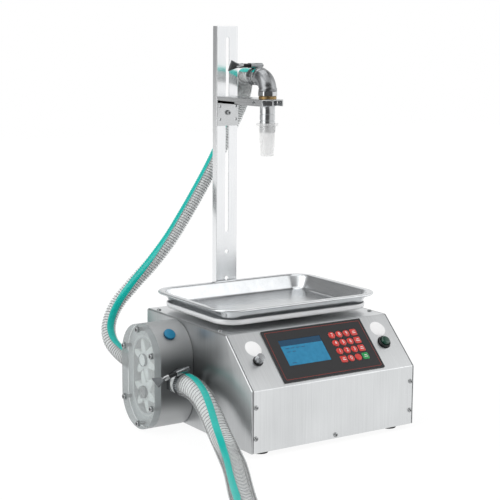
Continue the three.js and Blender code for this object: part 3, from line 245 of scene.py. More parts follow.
def hose_frames(places, guides):
    """Each place with its tangent and the stripe's direction, smoothed along the hose."""
    last = len(places) - 1
    tangents = [(places[min(i + 1, last)] - places[max(i - 1, 0)]).normalized() for i in range(last + 1)]
    sides = []
    for index, tangent in enumerate(tangents):
        guide = guided(guides, index / last)
        sides.append((guide - tangent * guide.dot(tangent)).normalized())
    frames = []
    for index, (place, tangent) in enumerate(zip(places, tangents)):
        reach = range(index - STRIPE_REACH, index + STRIPE_REACH + 1)
        near = sum((sides[min(max(i, 0), last)] for i in reach), Vector())
        frames.append((place, tangent, (near - tangent * near.dot(tangent)).normalized()))
    return frames


RIB_DEPTH, COIL_DEPTH = 0.0006, 0.0017
HOSE_SIDES = 32


def hose_wall(name, frames, hose, step):
    """The wall of a hose, ribbed along its coil but plain at its ends: clear, striped, and milky inside."""
    loops = []
    for index, (place, tangent, out) in enumerate(frames):
        swell = 0.5 - 0.5 * math.cos(2 * math.pi * index * step / hose["pitch"])
        swell *= min(1.0, 12.0 * min(index, len(frames) - 1 - index) / len(frames))
        size = hose["outer"] / 2 - RIB_DEPTH * swell
        loops.append(ring(place, out, tangent.cross(out), size, HOSE_SIDES, 0.5))
    bore = [ring(place, out, tangent.cross(out), hose["bore"] / 2, HOSE_SIDES, 0.5)
            for place, tangent, out in reversed(frames[::3] + frames[-1:])]
    wall = skinned(name, loops + bore, [clear_wall, stripe_colour, liner], True, 60.0)
    for polygon in wall.data.polygons:
        row, side = divmod(polygon.index, HOSE_SIDES)
        if row >= len(loops):
            polygon.material_index = 2
        elif min(side + 1, HOSE_SIDES - 1 - side) <= hose["stripe"] // 2:
            polygon.material_index = 1
    return wall


def node_group(name, **inputs):
    """A geometry node group that takes a geometry and inputs of these kinds, and its inputs' sockets."""
    tree = bpy.data.node_groups.new(name, "GeometryNodeTree")
    for label, kind in {"Geometry": "Geometry", **inputs}.items():
        tree.interface.new_socket(label.replace("_", " "), in_out="INPUT", socket_type=f"NodeSocket{kind}")
    tree.interface.new_socket("Geometry", in_out="OUTPUT", socket_type="NodeSocketGeometry")
    return tree, add_node(tree, "NodeGroupInput").outputs


def painted(tree, geometry, material):
    """Ends the group with its geometry made real and in one material."""
    real = add_node(tree, "GeometryNodeRealizeInstances", {"Geometry": geometry}).outputs[0]
    coloured = add_node(tree, "GeometryNodeSetMaterial", {"Geometry": real, "Material": material})
    add_node(tree, "NodeGroupOutput", {"Geometry": coloured.outputs[0]})


def use_group(piece, tree, values):
    """Puts a node group on the piece with values for its inputs."""
    modifier = piece.modifiers.new(tree.name, "NODES")
    modifier.node_group = tree
    for item in tree.interface.items_tree:
        if item.in_out == "INPUT" and item.name in values:
            modifier[item.identifier] = values[item.name]


def applied(piece):
    """A new mesh of the piece with its modifiers applied."""
    graph = bpy.context.evaluated_depsgraph_get()
    return bpy.data.meshes.new_from_object(piece.evaluated_get(graph), depsgraph=graph)


def run_group(name, source, tree, values):
    """The plain mesh that a node group makes of an object, which goes afterwards."""
    use_group(source, tree, values)
    mesh = applied(source)
    mesh.name = name
    mesh.shade_smooth()
    made = linked(name, mesh)
    bpy.data.objects.remove(source)
    return made


def path_curve(name, places):
    """A poly curve through the places, with its normals kept from twisting."""
    curve = bpy.data.curves.new(name, "CURVE")
    curve.dimensions = "3D"
    curve.twist_mode = "MINIMUM"
    spline = curve.splines.new("POLY")
    spline.points.add(len(places) - 1)
    for point, place in zip(spline.points, places):
        point.co = (*place, 1.0)
    return linked(name, curve)


# Clear soft plastic lets the coil show, and a milky bore hides the coil's far side
clear_wall = see_through("clear hose wall", "#dfe4e4", "#fcfdfd", "#fafcfc", 0.16, (0.20, 0.26),
                         60.0, 3.0, 1.45)
liner = see_through("milky hose liner", "#e6eaea", "#fcfdfd", "#fafcfc", 0.3, (0.86, 0.94), 60.0, 3.0, 1.45)

# The stripe is coloured through and hides the coil, whose wire looks dark in the wall
stripe_colour, tree = new_material("turquoise stripe", "#16b0a2")
shade = two_colours(tree, object_noise(tree, 40.0), "#00aca2", "#05bfb4")
output(tree, principled(tree, shade, 0.28))

coil_wire, tree = new_material("coil wire", "#8d8f90")
dulled = mapped(tree, object_noise(tree, 300.0), 0.2, 0.35)
output(tree, principled(tree, linear("#2f3133"), dulled, Metallic=0.4))

# Geometry nodes: a wire wound round a path at its pitch
coil, group = node_group("wire coil", Pitch="Float", Coil_radius="Float", Wire_radius="Float",
                         Material="Material")
path = add_node(coil, "GeometryNodeResampleCurve", {
    "Curve": group["Geometry"], "Length": maths(coil, "DIVIDE", group["Pitch"], 16.0)}, mode="LENGTH")
run = add_node(coil, "GeometryNodeSplineParameter").outputs["Length"]
angle = maths(coil, "MULTIPLY", maths(coil, "DIVIDE", run, group["Pitch"]), 2 * math.pi)
normal = add_node(coil, "GeometryNodeInputNormal").outputs["Normal"]
tangent = add_node(coil, "GeometryNodeInputTangent").outputs["Tangent"]
parts = []
for direction, wave in ((normal, "COSINE"), (vectors(coil, "CROSS_PRODUCT", tangent, normal), "SINE")):
    size = maths(coil, "MULTIPLY", maths(coil, wave, angle), group["Coil radius"])
    parts.append(add_node(coil, "ShaderNodeVectorMath", {0: direction, "Scale": size},
                          operation="SCALE").outputs[0])
wound = add_node(coil, "GeometryNodeSetPosition", {
    "Geometry": path.outputs["Curve"], "Offset": vectors(coil, "ADD", *parts)})
round_wire = add_node(coil, "GeometryNodeCurvePrimitiveCircle", {
    "Resolution": 5, "Radius": group["Wire radius"]})
wire = add_node(coil, "GeometryNodeCurveToMesh", {
    "Curve": wound.outputs[0], "Profile Curve": round_wire.outputs["Curve"], "Fill Caps": True})
painted(coil, wire.outputs["Mesh"], group["Material"])

hoses = {
    "suction_hose": {
        "outer": 0.040, "bore": 0.032, "pitch": 0.0062, "wire": 0.00050, "far_end": "bare", "stripe": 3,
        "guides": [(0.0, (0.15, 0.0, 1.0)), (0.06, (-0.05, -0.1, 1.0)), (0.16, (-0.55, -0.34, 0.75)),
                   (0.24, (-0.68, -0.05, 0.70)), (0.34, (-0.66, 0.3, 0.68)), (1.0, (-0.3, 0.0, 1.0))],
        "route": [
            (-204, 169.9, 95.5), (-204, 155, 95.5), (-204, 138, 95.5), (-204.5, 116, 92.5), (-205, 95, 84.5),
            (-206, 75, 72), (-207.5, 56, 57), (-210, 37, 43), (-214, 15, 31), (-221, -9, 23.2),
            (-232, -36, 20.4), (-247, -68, 20.3), (-264, -101, 20.3), (-282, -134, 20.3),
            (-300, -167, 20.3), (-318, -201, 20.3), (-338, -238, 20.3), (-364, -273, 20.3),
            (-397, -302, 20.3), (-436, -320, 20.3), (-478, -326, 20.3), (-520, -318, 20.3),
            (-558, -295, 20.3), (-587, -261, 20.3), (-604, -221, 20.3), (-607, -178, 20.3),
            (-598, -138, 20.3), (-581, -104, 20.3)]},
    "delivery_hose": {
        "outer": 0.028, "bore": 0.022, "pitch": 0.0050, "wire": 0.00065, "far_end": "object", "stripe": 5,
        "guides": [(0.0, (0.3, 0.0, 1.0)), (0.10, (0.1, -0.5, 0.8)), (0.20, (-0.25, -0.95, 0.2)),
                   (0.30, (-0.80, -0.55, 0.30)), (0.42, (-0.98, -0.05, 0.40)), (0.72, (-0.95, 0.05, 0.45)),
                   (0.88, (-0.6, -0.3, 0.75)), (1.0, (-0.45, 0.0, 0.9))],
        "route": [
            (-204, 312.1, 95.5), (-204, 326, 95.5), (-204, 340, 95.5), (-206.5, 362, 99),
            (-211.5, 382, 108.5), (-216, 399, 122.5), (-214, 413, 142), (-205, 420, 165), (-190, 420, 190),
            (-164, 413, 221), (-128, 402, 261), (-94, 394, 304), (-62, 391, 350), (-34, 391, 391),
            (-8, 392, 430), (14, 394, 465), (34, 396, 498), (47, 394, 524), (54, 385, 549.5),
            (52, 371, 570), (45, 355, 585.5), (35, 339, 596.5), (23, 322, 604), (11, 304, 607.2),
            (3, 288, 607.6), (0, 272, 607.6), (0, 260, 607.6), (0, 249, 607.6), (0, 238.3, 607.6)]},
}
for name, hose in hoses.items():
    step = hose["pitch"] / 4
    places, length = smooth_route(hose["route"], step)
    wall = hose_wall(f"{name}_wall", hose_frames(places, hose["guides"]), hose, step)
    wire = run_group(f"{name}_coil", path_curve(f"{name}_path", places[3:-3]), coil, {
        "Pitch": hose["pitch"], "Coil radius": hose["outer"] / 2 - COIL_DEPTH, "Wire radius": hose["wire"],
        "Material": coil_wire})
    for piece in (wall, wire):
        if hose["far_end"] == "object":
            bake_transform(piece)
        else:
            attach(piece, "machine")
    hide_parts(name)

# ---------------------------------------------------------------- Studio
# A white floor and background with three soft lights: above the front, on the left and above the back.
# Metals mirror a dim room with bright patches, and a floor that is dark towards the front left. Each patch
# has a direction, how near to it the light starts and is full, and its strength.
patches = (
    ((0.72, -0.55, -0.42), 0.30, 0.8, 0.90), ((0.55, 0.83, 0.0), 0.45, 0.92, 0.88),
    ((-0.83, 0.55, 0.0), 0.3, 1.0, 0.20), ((-0.95, 0.32, 0.0), 0.86, 0.99, 0.75),
    ((0.55, -0.61, 0.57), 0.91, 0.985, 0.95), ((-0.67, -0.03, 0.74), 0.80, 0.97, 1.0),
    ((0.85, -0.20, 0.49), 0.80, 0.97, 0.78))
studio = bpy.data.worlds.new("studio")
studio.use_nodes = True
tree = studio.node_tree
tree.nodes.clear()
ray = add_node(tree, "ShaderNodeLightPath").outputs
heading = add_node(tree, "ShaderNodeTexCoord").outputs["Generated"]
brightness = 0.11
for direction, start, full, strength in patches:
    near = vectors(tree, "DOT_PRODUCT", heading, direction)
    patch = mapped(tree, near, 0.0, strength, start, full, "SMOOTHSTEP")
    brightness = maths(tree, "ADD", patch, brightness)
white = add_node(tree, "ShaderNodeBackground", {"Color": linear("#ffffff"), "Strength": 1.0}).outputs[0]
soft = add_node(tree, "ShaderNodeBackground", {"Color": linear("#fafafa"), "Strength": brightness}).outputs[0]
add_node(tree, "ShaderNodeOutputWorld", {"Surface": two_shaders(tree, ray["Is Camera Ray"], soft, white)})
scene.world = studio

floor_white, tree = new_material("studio floor", "#ffffff")
ray = add_node(tree, "ShaderNodeLightPath").outputs
place = object_place(tree)
away = vectors(tree, "LENGTH", place)
glow = add_node(tree, "ShaderNodeEmission", {"Color": linear("#ffffff"), "Strength": 1.05}).outputs[0]
matt = add_node(tree, "ShaderNodeBsdfDiffuse", {
    "Color": linear("#f2f2f2"), "Roughness": mapped(tree, object_noise(tree, 2.0), 0.9, 1.0)}).outputs[0]
grey = add_node(tree, "ShaderNodeBsdfDiffuse", {"Color": linear("#5c5c5c")}).outputs[0]
lit = two_shaders(tree, mapped(tree, away, 0.88, 1.0, 0.25, 0.8), matt, glow)
forward = vectors(tree, "DOT_PRODUCT", vectors(tree, "NORMALIZE", place), (-0.62, -0.78, 0.0))
dark_side = maths(tree, "MULTIPLY", forward, mapped(tree, away, 0.0, 1.0, 0.3, 0.6))
dimmed = mapped(tree, dark_side, 0.92, 0.12, 0.78, 0.96, "SMOOTHSTEP")
share = mapped(tree, ray["Is Glossy Ray"], 0.45, dimmed)
unlit = two_shaders(tree, ray["Is Glossy Ray"], matt, grey)
output(tree, two_shaders(tree, ray["Is Camera Ray"], two_shaders(tree, share, unlit, glow), lit))
REACH = 6.0
corners = [(x * REACH, y * REACH, 0) for x, y in ((-1, -1), (1, -1), (1, 1), (-1, 1))]
floor = mesh_piece("studio_floor", corners, [(0, 1, 2, 3)], floor_white, 35.0)
floor.location.z = -0.0004

for name, place, aim, size, power in (
        ("light_front", (-0.3, -1.0, 2.6), 0.25, (2.4, 1.8), 14.0),
        ("light_left", (-2.2, -0.2, 1.3), 0.25, (1.8, 2.2), 19.0),
        ("light_above", (0.1, 0.5, 2.3), 0.2, (1.6, 1.2), 12.0)):
    data = bpy.data.lights.new(name, "AREA")
    data.shape = "RECTANGLE"
    data.size, data.size_y = size
    data.energy = power
    light = linked(name, data)
    light.location = place
    light.rotation_euler = (Vector((0.0, 0.0, aim)) - Vector(place)).to_track_quat("-Z", "Y").to_euler()

scene.view_settings.view_transform = "Standard"


# ---------------------------------------------------------------- Housing
# Brushed stainless sheet, folded over the front, the slope and the top, with flanged side panels screwed in.
# The wrap's bends have a small radius, and cross recessed pan head screws hold it.
def rounded(width, height, radius, steps):
    """The points of a rectangle with round corners, counterclockwise."""
    points = []
    for quarter, (sx, sy) in enumerate(((1, 1), (-1, 1), (-1, -1), (1, -1))):
        for step in range(steps + 1):
            angle = (quarter + step / steps) * math.pi / 2
            points.append((sx * (width / 2 - radius) + radius * math.cos(angle),
                           sy * (height / 2 - radius) + radius * math.sin(angle)))
    return points


def polar(size, steps, start=0.0, turn=0.0):
    """The points round a centre at the distance that a function gives for each angle."""
    angles = [2 * math.pi * (i + start) / steps for i in range(steps)]
    return [(size(a) * math.cos(a + turn), size(a) * math.sin(a + turn)) for a in angles]


def round_loop(radius, steps=48):
    """The points of a circle."""
    return polar(lambda a: radius, steps)


RIGHT, BACK, UP = (1, 0, 0), (0, 1, 0), (0, 0, 1)
LEFT, FRONT = (-1, 0, 0), (0, -1, 0)


def facing(origin, out, side=None):
    """The matrix from a piece's own millimetres to the frame: its Z points out and its X to the side."""
    z = Vector(out).normalized()
    x = Vector(side) if side else (Vector(UP) if abs(z.z) < 0.9 else Vector(RIGHT))
    x = (x - z * x.dot(z)).normalized()
    y = z.cross(x)
    columns = [[c * 0.001 for c in (x[i], y[i], z[i])] + [at(*origin)[i]] for i in range(3)]
    return Matrix(columns + [[0, 0, 0, 1]])


EDGE_ANGLE, GRAIN_DEPTH, JOIN_DISTANCE = 32.0, 0.0002, 0.00001


def bevel(piece, width, segments=2):
    """Rounds the piece's hard edges by a width in millimetres."""
    edge = piece.modifiers.new("edges", "BEVEL")
    edge.width = width * 0.001
    edge.segments = segments
    edge.limit_method = "ANGLE"
    edge.angle_limit = math.radians(EDGE_ANGLE)
    edge.harden_normals = True
    return piece


def layered(name, layers, place, material, wrap=False, edge=0, sharp=35.0):
    """A piece skinned through outlines at levels along its own Z, with its hard edges rounded when an edge
    width is given.
    """
    loops = [[place @ Vector((x, y, level)) for x, y in outline] for outline, level in layers]
    piece = skinned(name, loops, material, wrap, 180.0 if edge else sharp)
    return bevel(piece, edge) if edge else piece


def prism(name, outline, low, high, place, material, edge=0):
    """A piece with one outline from a low to a high level."""
    return layered(name, [(outline, low), (outline, high)], place, material, edge=edge)


def turned(name, profile, place, material, wrap=False, edge=0, steps=48):
    """A piece turned about its own Z through radius and level pairs."""
    return layered(name, [(round_loop(r, steps), z) for r, z in profile], place, material, wrap, edge)


def drill(radius, low, high, place):
    """A round cutter along the place's own Z."""
    return prism("cutter", round_loop(radius), low, high, place, [])


def belongs(piece, body, slot, *replaced):
    """The piece moves with the body and stands for the CAD nodes, which are hidden; the slot is not used."""
    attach(piece, body)
    if replaced:
        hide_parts(*replaced)


def merged(name, pieces):
    """Several mesh pieces as one, with their modifiers applied."""
    work = bmesh.new()
    materials = []
    for piece in pieces:
        mesh = applied(piece)
        materials += [entry for entry in piece.data.materials if entry not in materials]
        shift = [materials.index(entry) for entry in piece.data.materials]
        for polygon in mesh.polygons:
            polygon.material_index = shift[polygon.material_index]
        work.from_mesh(mesh)
    joined = bpy.data.meshes.new(name)
    work.to_mesh(joined)
    work.free()
    for entry in materials:
        joined.materials.append(entry)
    for piece in pieces:
        bpy.data.objects.remove(piece)
    return linked(name, joined)


def face_material(piece, chosen):
    """Gives the piece's second material to the chosen faces."""
    for polygon in piece.data.polygons:
        if chosen(polygon):
            polygon.material_index = 1


def cut(piece, cutters):
    """The piece with the cutters taken out of it, as a plain mesh."""
    for cutter in cutters:
        hole = piece.modifiers.new("hole", "BOOLEAN")
        hole.object = cutter
        hole.solver = "EXACT"
    mesh = applied(piece)
    mesh.set_sharp_from_angle(angle=math.radians(30.0))
    name = piece.name
    for old in [piece, *cutters]:
        bpy.data.objects.remove(old)
    return linked(name, mesh)


# Geometry nodes: a CAD solid's split corners joined again and shaded smooth, ready for its bevel
weld, group = node_group("weld", Join_distance="Float")
bare = add_node(weld, "GeometryNodeRemoveAttribute", {"Geometry": group["Geometry"], "Name": "custom_normal"})
joined = add_node(weld, "GeometryNodeMergeByDistance", {
    "Geometry": bare.outputs[0], "Distance": group["Join distance"]})
smooth = add_node(weld, "GeometryNodeSetShadeSmooth", {"Geometry": joined.outputs[0], "Shade Smooth": True})
add_node(weld, "NodeGroupOutput", {"Geometry": smooth.outputs[0]})


def dress(name, material, edge=0.3, segments=2):
    """A CAD node with a material of its own and rounded edges."""
    piece = nodes[name]
    piece.data.materials.clear()
    piece.data.materials.append(material)
    use_group(piece, weld, {"Join distance": JOIN_DISTANCE})
    bevel(piece, edge, segments)


def bumped(tree, grain, strength):
    """The normal that a fine grain gives."""
    return add_node(tree, "ShaderNodeBump", {
        "Height": grain, "Strength": strength, "Distance": GRAIN_DEPTH}).outputs[0]


def metal(name, dark, light, rough, stretch, bump=0.05, metallic=1.0):
    """A metal whose tint, roughness and grain follow noise drawn out along its brushing."""
    made, tree = new_material(name, light)
    grain = object_noise(tree, 1.0, 4.0, 0.65, stretch)
    cloud = object_noise(tree, 9.0, 2.0)
    value = maths(tree, "ADD", maths(tree, "MULTIPLY", grain, 0.5), maths(tree, "MULTIPLY", cloud, 0.5))
    colour = two_colours(tree, mapped(tree, value, 0.0, 1.0, 0.3, 0.7), dark, light)
    output(tree, principled(tree, colour, mapped(tree, value, *rough), Metallic=metallic,
                            Normal=bumped(tree, grain, bump)))
    return made


def plastic(name, dark, light, rough, bump=0.05, coat=0.0):
    """A plastic, rubber or paint with a fine grain and a slight cloudiness."""
    made, tree = new_material(name, light)
    grain = object_noise(tree, 400.0)
    colour = two_colours(tree, object_noise(tree, 30.0, 2.0), dark, light)
    output(tree, principled(tree, colour, mapped(tree, grain, *rough), IOR=1.47, Coat_Weight=coat,
                            Normal=bumped(tree, grain, bump)))
    return made


def even(scale):
    """The stretch of a grain that runs the same way in every direction."""
    return (scale, scale, scale)


# Brushed sheet draws its highlights out across the grain. Screws are smoother, and a dark steel stands in the
# clamp bands' slots as painted shade
sheet_up = metal("brushed sheet, grain up", "#cfd1d2", "#e4e6e7", (0.26, 0.40), (700.0, 9.0, 9.0), bump=0.1)
# The side panels take a darker copy of the same brushed sheet with its grain turned: the darker tint is
# painted shade
sheet_side_shaded = metal("brushed sheet, side panel", "#acaeaf", "#c7c9ca", (0.24, 0.38), (9.0, 700.0, 9.0),
                   bump=0.1)
sheet_plain = metal("plain sheet", "#8f9192", "#a9abac", (0.35, 0.5), even(60.0))
screw_steel = metal("screw steel", "#8b8d8e", "#b6b8b9", (0.16, 0.28), even(300.0))
# Painted shade: a dark steel for the shade inside the clamp bands' slots
slot_shade = metal("screw recess", "#2c2d2e", "#454647", (0.4, 0.6), even(300.0))

SHEET = 1.5
BEND, BEND_STEPS = 3.0, 6
HALF_WRAP, HALF_WIDTH = 166.5, 170.0
FOOT_OF_SLOPE, TOP_OF_SLOPE = (0, 112), (81, 190)
REAR_EDGE = 343.2


def folded_line(corners, radius):
    """A line through the corners, each rounded, as places and their outward directions."""
    points = [Vector(corner) for corner in corners]
    ways = [(q - p).normalized() for p, q in zip(points, points[1:])]
    outs = [Vector((-way.y, way.x)) for way in ways]
    line = [(points[0], outs[0])]
    for corner, into, away, start_out, end_out in zip(points[1:], ways, ways[1:], outs, outs[1:]):
        centre = corner - into * radius * math.tan(into.angle(away) / 2) - start_out * radius
        for step in range(BEND_STEPS + 1):
            out = start_out.slerp(end_out, step / BEND_STEPS)
            line.append((centre + out * radius, out))
    return line + [(points[-1], outs[-1])]


folds = folded_line([(0, 8), FOOT_OF_SLOPE, TOP_OF_SLOPE, (345, 190)], BEND)
section = [p for p, out in folds] + [p - out * SHEET for p, out in reversed(folds)]
plate = facing((0, 0, 0), RIGHT, BACK)
wrap = prism("housing_wrap_sheet", section, -HALF_WRAP, HALF_WRAP, plate, sheet_up)
lean_back = math.atan2(78, 81)
SLOPE_UP = Vector((0, math.cos(lean_back), math.sin(lean_back)))
SLOPE_OUT = Vector((0, -math.sin(lean_back), math.cos(lean_back)))
KNOB, BUTTON = (-133, 55), (133, 55)


def on_slope(across, up, out=0.0):
    """The matrix of a place on the slope, in machine millimetres along it."""
    place = Vector((across, *FOOT_OF_SLOPE)) + SLOPE_UP * up + SLOPE_OUT * out
    return facing(tuple(place), SLOPE_OUT, RIGHT)


wrap = cut(wrap, [drill(21.0, -5.0, 5.0, facing((48, 214, 190), UP)),
                  drill(3.3, -5.0, 5.0, on_slope(*KNOB)), drill(12.3, -5.0, 5.0, on_slope(*BUTTON))])
bevel(wrap, 0.2)
belongs(wrap, "machine", "brushed_sheet", "housing_wrap")
for name, end in (("left_side_panel", -HALF_WIDTH), ("right_side_panel", HALF_WIDTH)):
    rims = []
    for inset, depth in ((2.2, 0.0), (1.25, 0.15), (0.6, 0.6), (0.15, 1.25), (0.0, 2.1), (0.0, 2.3)):
        rim = [p - out * inset for p, out in folds[:-1]]
        rim += [Vector((REAR_EDGE, 190.0 - inset)), Vector((REAR_EDGE, 8.0))]
        rims.append((rim, end - math.copysign(depth, end)))
    panel = layered(f"{name}_plate", rims, plate, sheet_side_shaded, sharp=30.0)
    belongs(panel, "machine", "brushed_sheet", name)
dress("base_plate", sheet_plain)
dress("back_panel", sheet_up, 0.2)
dress("load_cell_crossbar", sheet_plain)

# Geometry nodes: one screw set at each place, its head along the place's own direction
fasteners, group = node_group("fasteners", Screw="Object", Size="Float", Turn="Float", Material="Material")
screw = add_node(fasteners, "GeometryNodeObjectInfo", {"Object": group["Screw"]})
head = add_node(fasteners, "GeometryNodeInputNamedAttribute", {"Name": "facing"}, data_type="FLOAT_VECTOR")
index = add_node(fasteners, "GeometryNodeInputIndex").outputs[0]
spin = add_node(fasteners, "ShaderNodeCombineXYZ", {"Z": maths(fasteners, "MULTIPLY", index, group["Turn"])})
upright = add_node(fasteners, "FunctionNodeAlignRotationToVector", {
    "Vector": head.outputs["Attribute"]}, axis="Z")
twist = add_node(fasteners, "FunctionNodeEulerToRotation", {"Euler": spin.outputs[0]})
both = add_node(fasteners, "FunctionNodeRotateRotation", {
    "Rotation": upright.outputs[0], "Rotate By": twist.outputs[0]}, rotation_space="LOCAL")
copies = add_node(fasteners, "GeometryNodeInstanceOnPoints", {
    "Points": group["Geometry"], "Instance": screw.outputs["Geometry"], "Rotation": both.outputs[0],
    "Scale": group["Size"]})
painted(fasteners, copies.outputs[0], group["Material"])


def set_screws(name, screw, places, material, turn=0.9):
    """Screws at places in machine millimetres, each with the direction its head faces."""
    mesh = bpy.data.meshes.new(name)
    mesh.from_pydata([tuple(at(*place)) for place, out in places], [], [])
    heads = mesh.attributes.new("facing", "FLOAT_VECTOR", "POINT")
    heads.data.foreach_set("vector", [c for place, out in places for c in Vector(out).normalized()])
    made = run_group(name, linked(name, mesh), fasteners, {
        "Screw": screw, "Size": 1.0, "Turn": turn, "Material": material})
    made.data.set_sharp_from_angle(angle=math.radians(40.0))
    return made


OWN_SIZE = Matrix.Scale(0.001, 4)


def screw_source(name, profile, steps, cutters):
    """One screw about the origin with its recess cut, kept out of the scene."""
    made = cut(turned(name, profile, OWN_SIZE, screw_steel, steps=steps), cutters)
    scene.collection.objects.unlink(made)
    return made


# Cross recessed pan head: radius 4.2 and height 2.4 mm over a shank of radius 2 mm
radius, height, shank = 4.2, 2.4, 2.0
cross = [layered("cutter", [(rounded(w * 0.7, h * 0.7, 0.05, 1), height * 0.2),
                            (rounded(w, h, 0.05, 1), height + 1.0)], OWN_SIZE, [])
         for w, h in ((radius * 1.1, radius * 0.28), (radius * 0.28, radius * 1.1))]
pan_screw = screw_source("pan_screw", [
    (shank, -1.5), (shank, 0.0), (radius, 0.0), (radius, height * 0.35), (radius * 0.86, height * 0.75),
    (radius * 0.5, height * 0.97), (0.2, height)], 24, cross)
housing_places = [((x, 0, z), FRONT) for x in (-162, 162) for z in (85, 33)] + [((0, 0, 14), FRONT)]
housing_places += [((x, y, 190), UP) for x in (-160, 160) for y in (115, 320)]
housing_places += [((x, 345, z), BACK) for x in (-160, 160) for z in (30, 165)]
screws = set_screws("housing_screws", pan_screw, housing_places, screw_steel)
belongs(screws, "machine", "polished_steel")

# Rubber feet, moulded with a bead at the floor
rubber = plastic("black rubber", "#131313", "#1f1f20", (0.62, 0.8), bump=0.2)
foot_profile = [(11.0, 0.0), (13.4, 0.0), (14.0, 0.8), (14.0, 2.0), (13.2, 3.0), (12.0, 7.7)]
for node, x, y in (("foot_front_left", -136, 27), ("foot_front_right", 136, 27),
                   ("foot_rear_left", -136, 318), ("foot_rear_right", 136, 318)):
    foot = turned(f"{node}_rubber", foot_profile, facing((x, y, 0), UP), rubber)
    belongs(foot, "machine", "black_rubber", node)

# Mains inlet and switch: moulded black plastic with three flat steel pins in the socket
black_plastic = plastic("black plastic", "#141516", "#202122", (0.35, 0.55), bump=0.12)
dress("mains_inlet", black_plastic, 0.4)
dress("power_switch", black_plastic, 0.5)
pins = [prism("pin", rounded(2.0, 4.5, 0.3, 2), 0.0, 12.0, facing((x, 332.5, z), BACK, RIGHT), screw_steel,
              edge=0.2) for x, z in ((90, 47.2), (100, 47.2), (95, 51.8))]
belongs(merged("mains_inlet_pins", pins), "machine", "polished_steel")

# ---------------------------------------------------------------- Pump
# Machined aluminium body with an obround pocket, a thick clear acrylic cover on six cap screws, two white
# six-lobe rotors in mesh, a pale seal, and a blue filling plug. It's bolted to the left side panel.
PUMP_Y, PUMP_Z = 241, 95.5
FACE, INNER = -234.3, -170.3
COVER_BACK = FACE - 0.3
COVER_FRONT = COVER_BACK - 12.4
LOWER_AXIS, UPPER_AXIS = 67, 124

# Machined aluminium, its colour set by height: painted shade darkens the straight sides and a painted
# highlight makes the ends paler where they turn up and down
pump_sides_painted_light, tree = new_material("machined aluminium", "#9a9c9d")
grain = object_noise(tree, 1500.0, 3.0)
level = add_node(tree, "ShaderNodeSeparateXYZ", {"Vector": object_place(tree)}).outputs["Z"]
from_middle = maths(tree, "ABSOLUTE", maths(tree, "SUBTRACT", level, PUMP_Z * 0.001))
# Painted light: dark painted shade in the middle of the height, pale painted highlight towards the round ends
colour = two_colours(tree, mapped(tree, from_middle, 0.0, 1.0, 0.020, 0.062, "SMOOTHSTEP"),
                     two_colours(tree, grain, "#5d5f60", "#6d6f70"),
                     two_colours(tree, grain, "#a2a4a5", "#b8babb"))
output(tree, principled(tree, colour, mapped(tree, grain, 0.46, 0.56), Metallic=0.6,
                        Normal=bumped(tree, grain, 0.1)))
pump_face = metal("machined pump face", "#bfc1c2", "#d4d6d7", (0.34, 0.46), (20.0, 20.0, 900.0), metallic=0.5)
pump_place = facing((0, PUMP_Y, PUMP_Z), RIGHT, BACK)


def obround(half_width, half_height):
    """The points of a rectangle with half round ends."""
    return rounded(2 * half_width, 2 * half_height, half_width, 14)


def inward(x, z, y=PUMP_Y):
    """A place on the pump that looks in towards the housing."""
    return facing((x, y, z), RIGHT)


outer, chamfered = obround(58.5, 92.5), obround(57.7, 91.7)
groove, groove_inner, pocket = obround(43.5, 72.0), obround(40.1, 68.6), obround(37.8, 66.3)
body = layered("pump_body_block", [
    (chamfered, INNER), (outer, INNER - 0.8), (outer, FACE + 0.8), (chamfered, FACE), (groove, FACE),
    (groove, FACE + 2.4), (groove_inner, FACE + 2.4), (groove_inner, FACE), (pocket, FACE),
    (pocket, FACE + 45.2)], pump_place, [pump_sides_painted_light, pump_face], sharp=40.0)
middle = at(INNER - 2.0, PUMP_Y, PUMP_Z)
face_material(body, lambda face: face.normal.x < -0.9 or (
    abs(face.center.y - middle.y) < 0.0395 and abs(face.center.z - middle.z) < 0.068
    and face.center.x < middle.x))
plug_lean = math.radians(47)
plug_out = Vector((0, -math.cos(plug_lean), math.sin(plug_lean)))
plug_place = facing(tuple(Vector((-208, PUMP_Y, 129.5)) + plug_out * 58.5), plug_out)
body = cut(body, [
    drill(8.3, 0.0, 17.2, inward(FACE + 40.0, UPPER_AXIS)),
    drill(8.3, 0.0, 30.0, inward(FACE + 40.0, LOWER_AXIS)),
    drill(13.3, 0.0, 40.0, facing((-204, 180.5, PUMP_Z), BACK)),
    drill(8.3, 0.0, 40.0, facing((-204, 301.5, PUMP_Z), FRONT)),
    drill(7.3, 0.0, 12.0, plug_place @ Matrix.Translation((0, 0, -9.0)))])
belongs(body, "machine", "pump_aluminium", "pump_body")

# Cap screws of head radius 5 and height 6 mm with a hexagon socket, each in its counterbore
radius, height, shank = 5.0, 6.0, 3.0
socket = turned("cutter", [(shank * 0.96, height - 3.0), (shank * 0.96, height + 1.0)], OWN_SIZE, [], steps=6)
cap_screw = screw_source("cap_screw", [
    (shank, -10.4), (shank, 0.0), (radius, 0.0), (radius, height - 0.4), (radius - 0.4, height)],
    36, [socket])
screw_seat = COVER_FRONT + 2.6 - 0.3
screw_circle = [(PUMP_Y + y, PUMP_Z + z) for y, z in (
    (0, 83.5), (0, -83.5), (48.0, 46), (48.0, -46), (-48.0, 46), (-48.0, -46))]
cover_places = [((screw_seat, y, z), LEFT) for y, z in screw_circle]
cover_screws = set_screws("cover_screws", cap_screw, cover_places, screw_steel, turn=1.3)
belongs(cover_screws, "machine", "polished_steel")

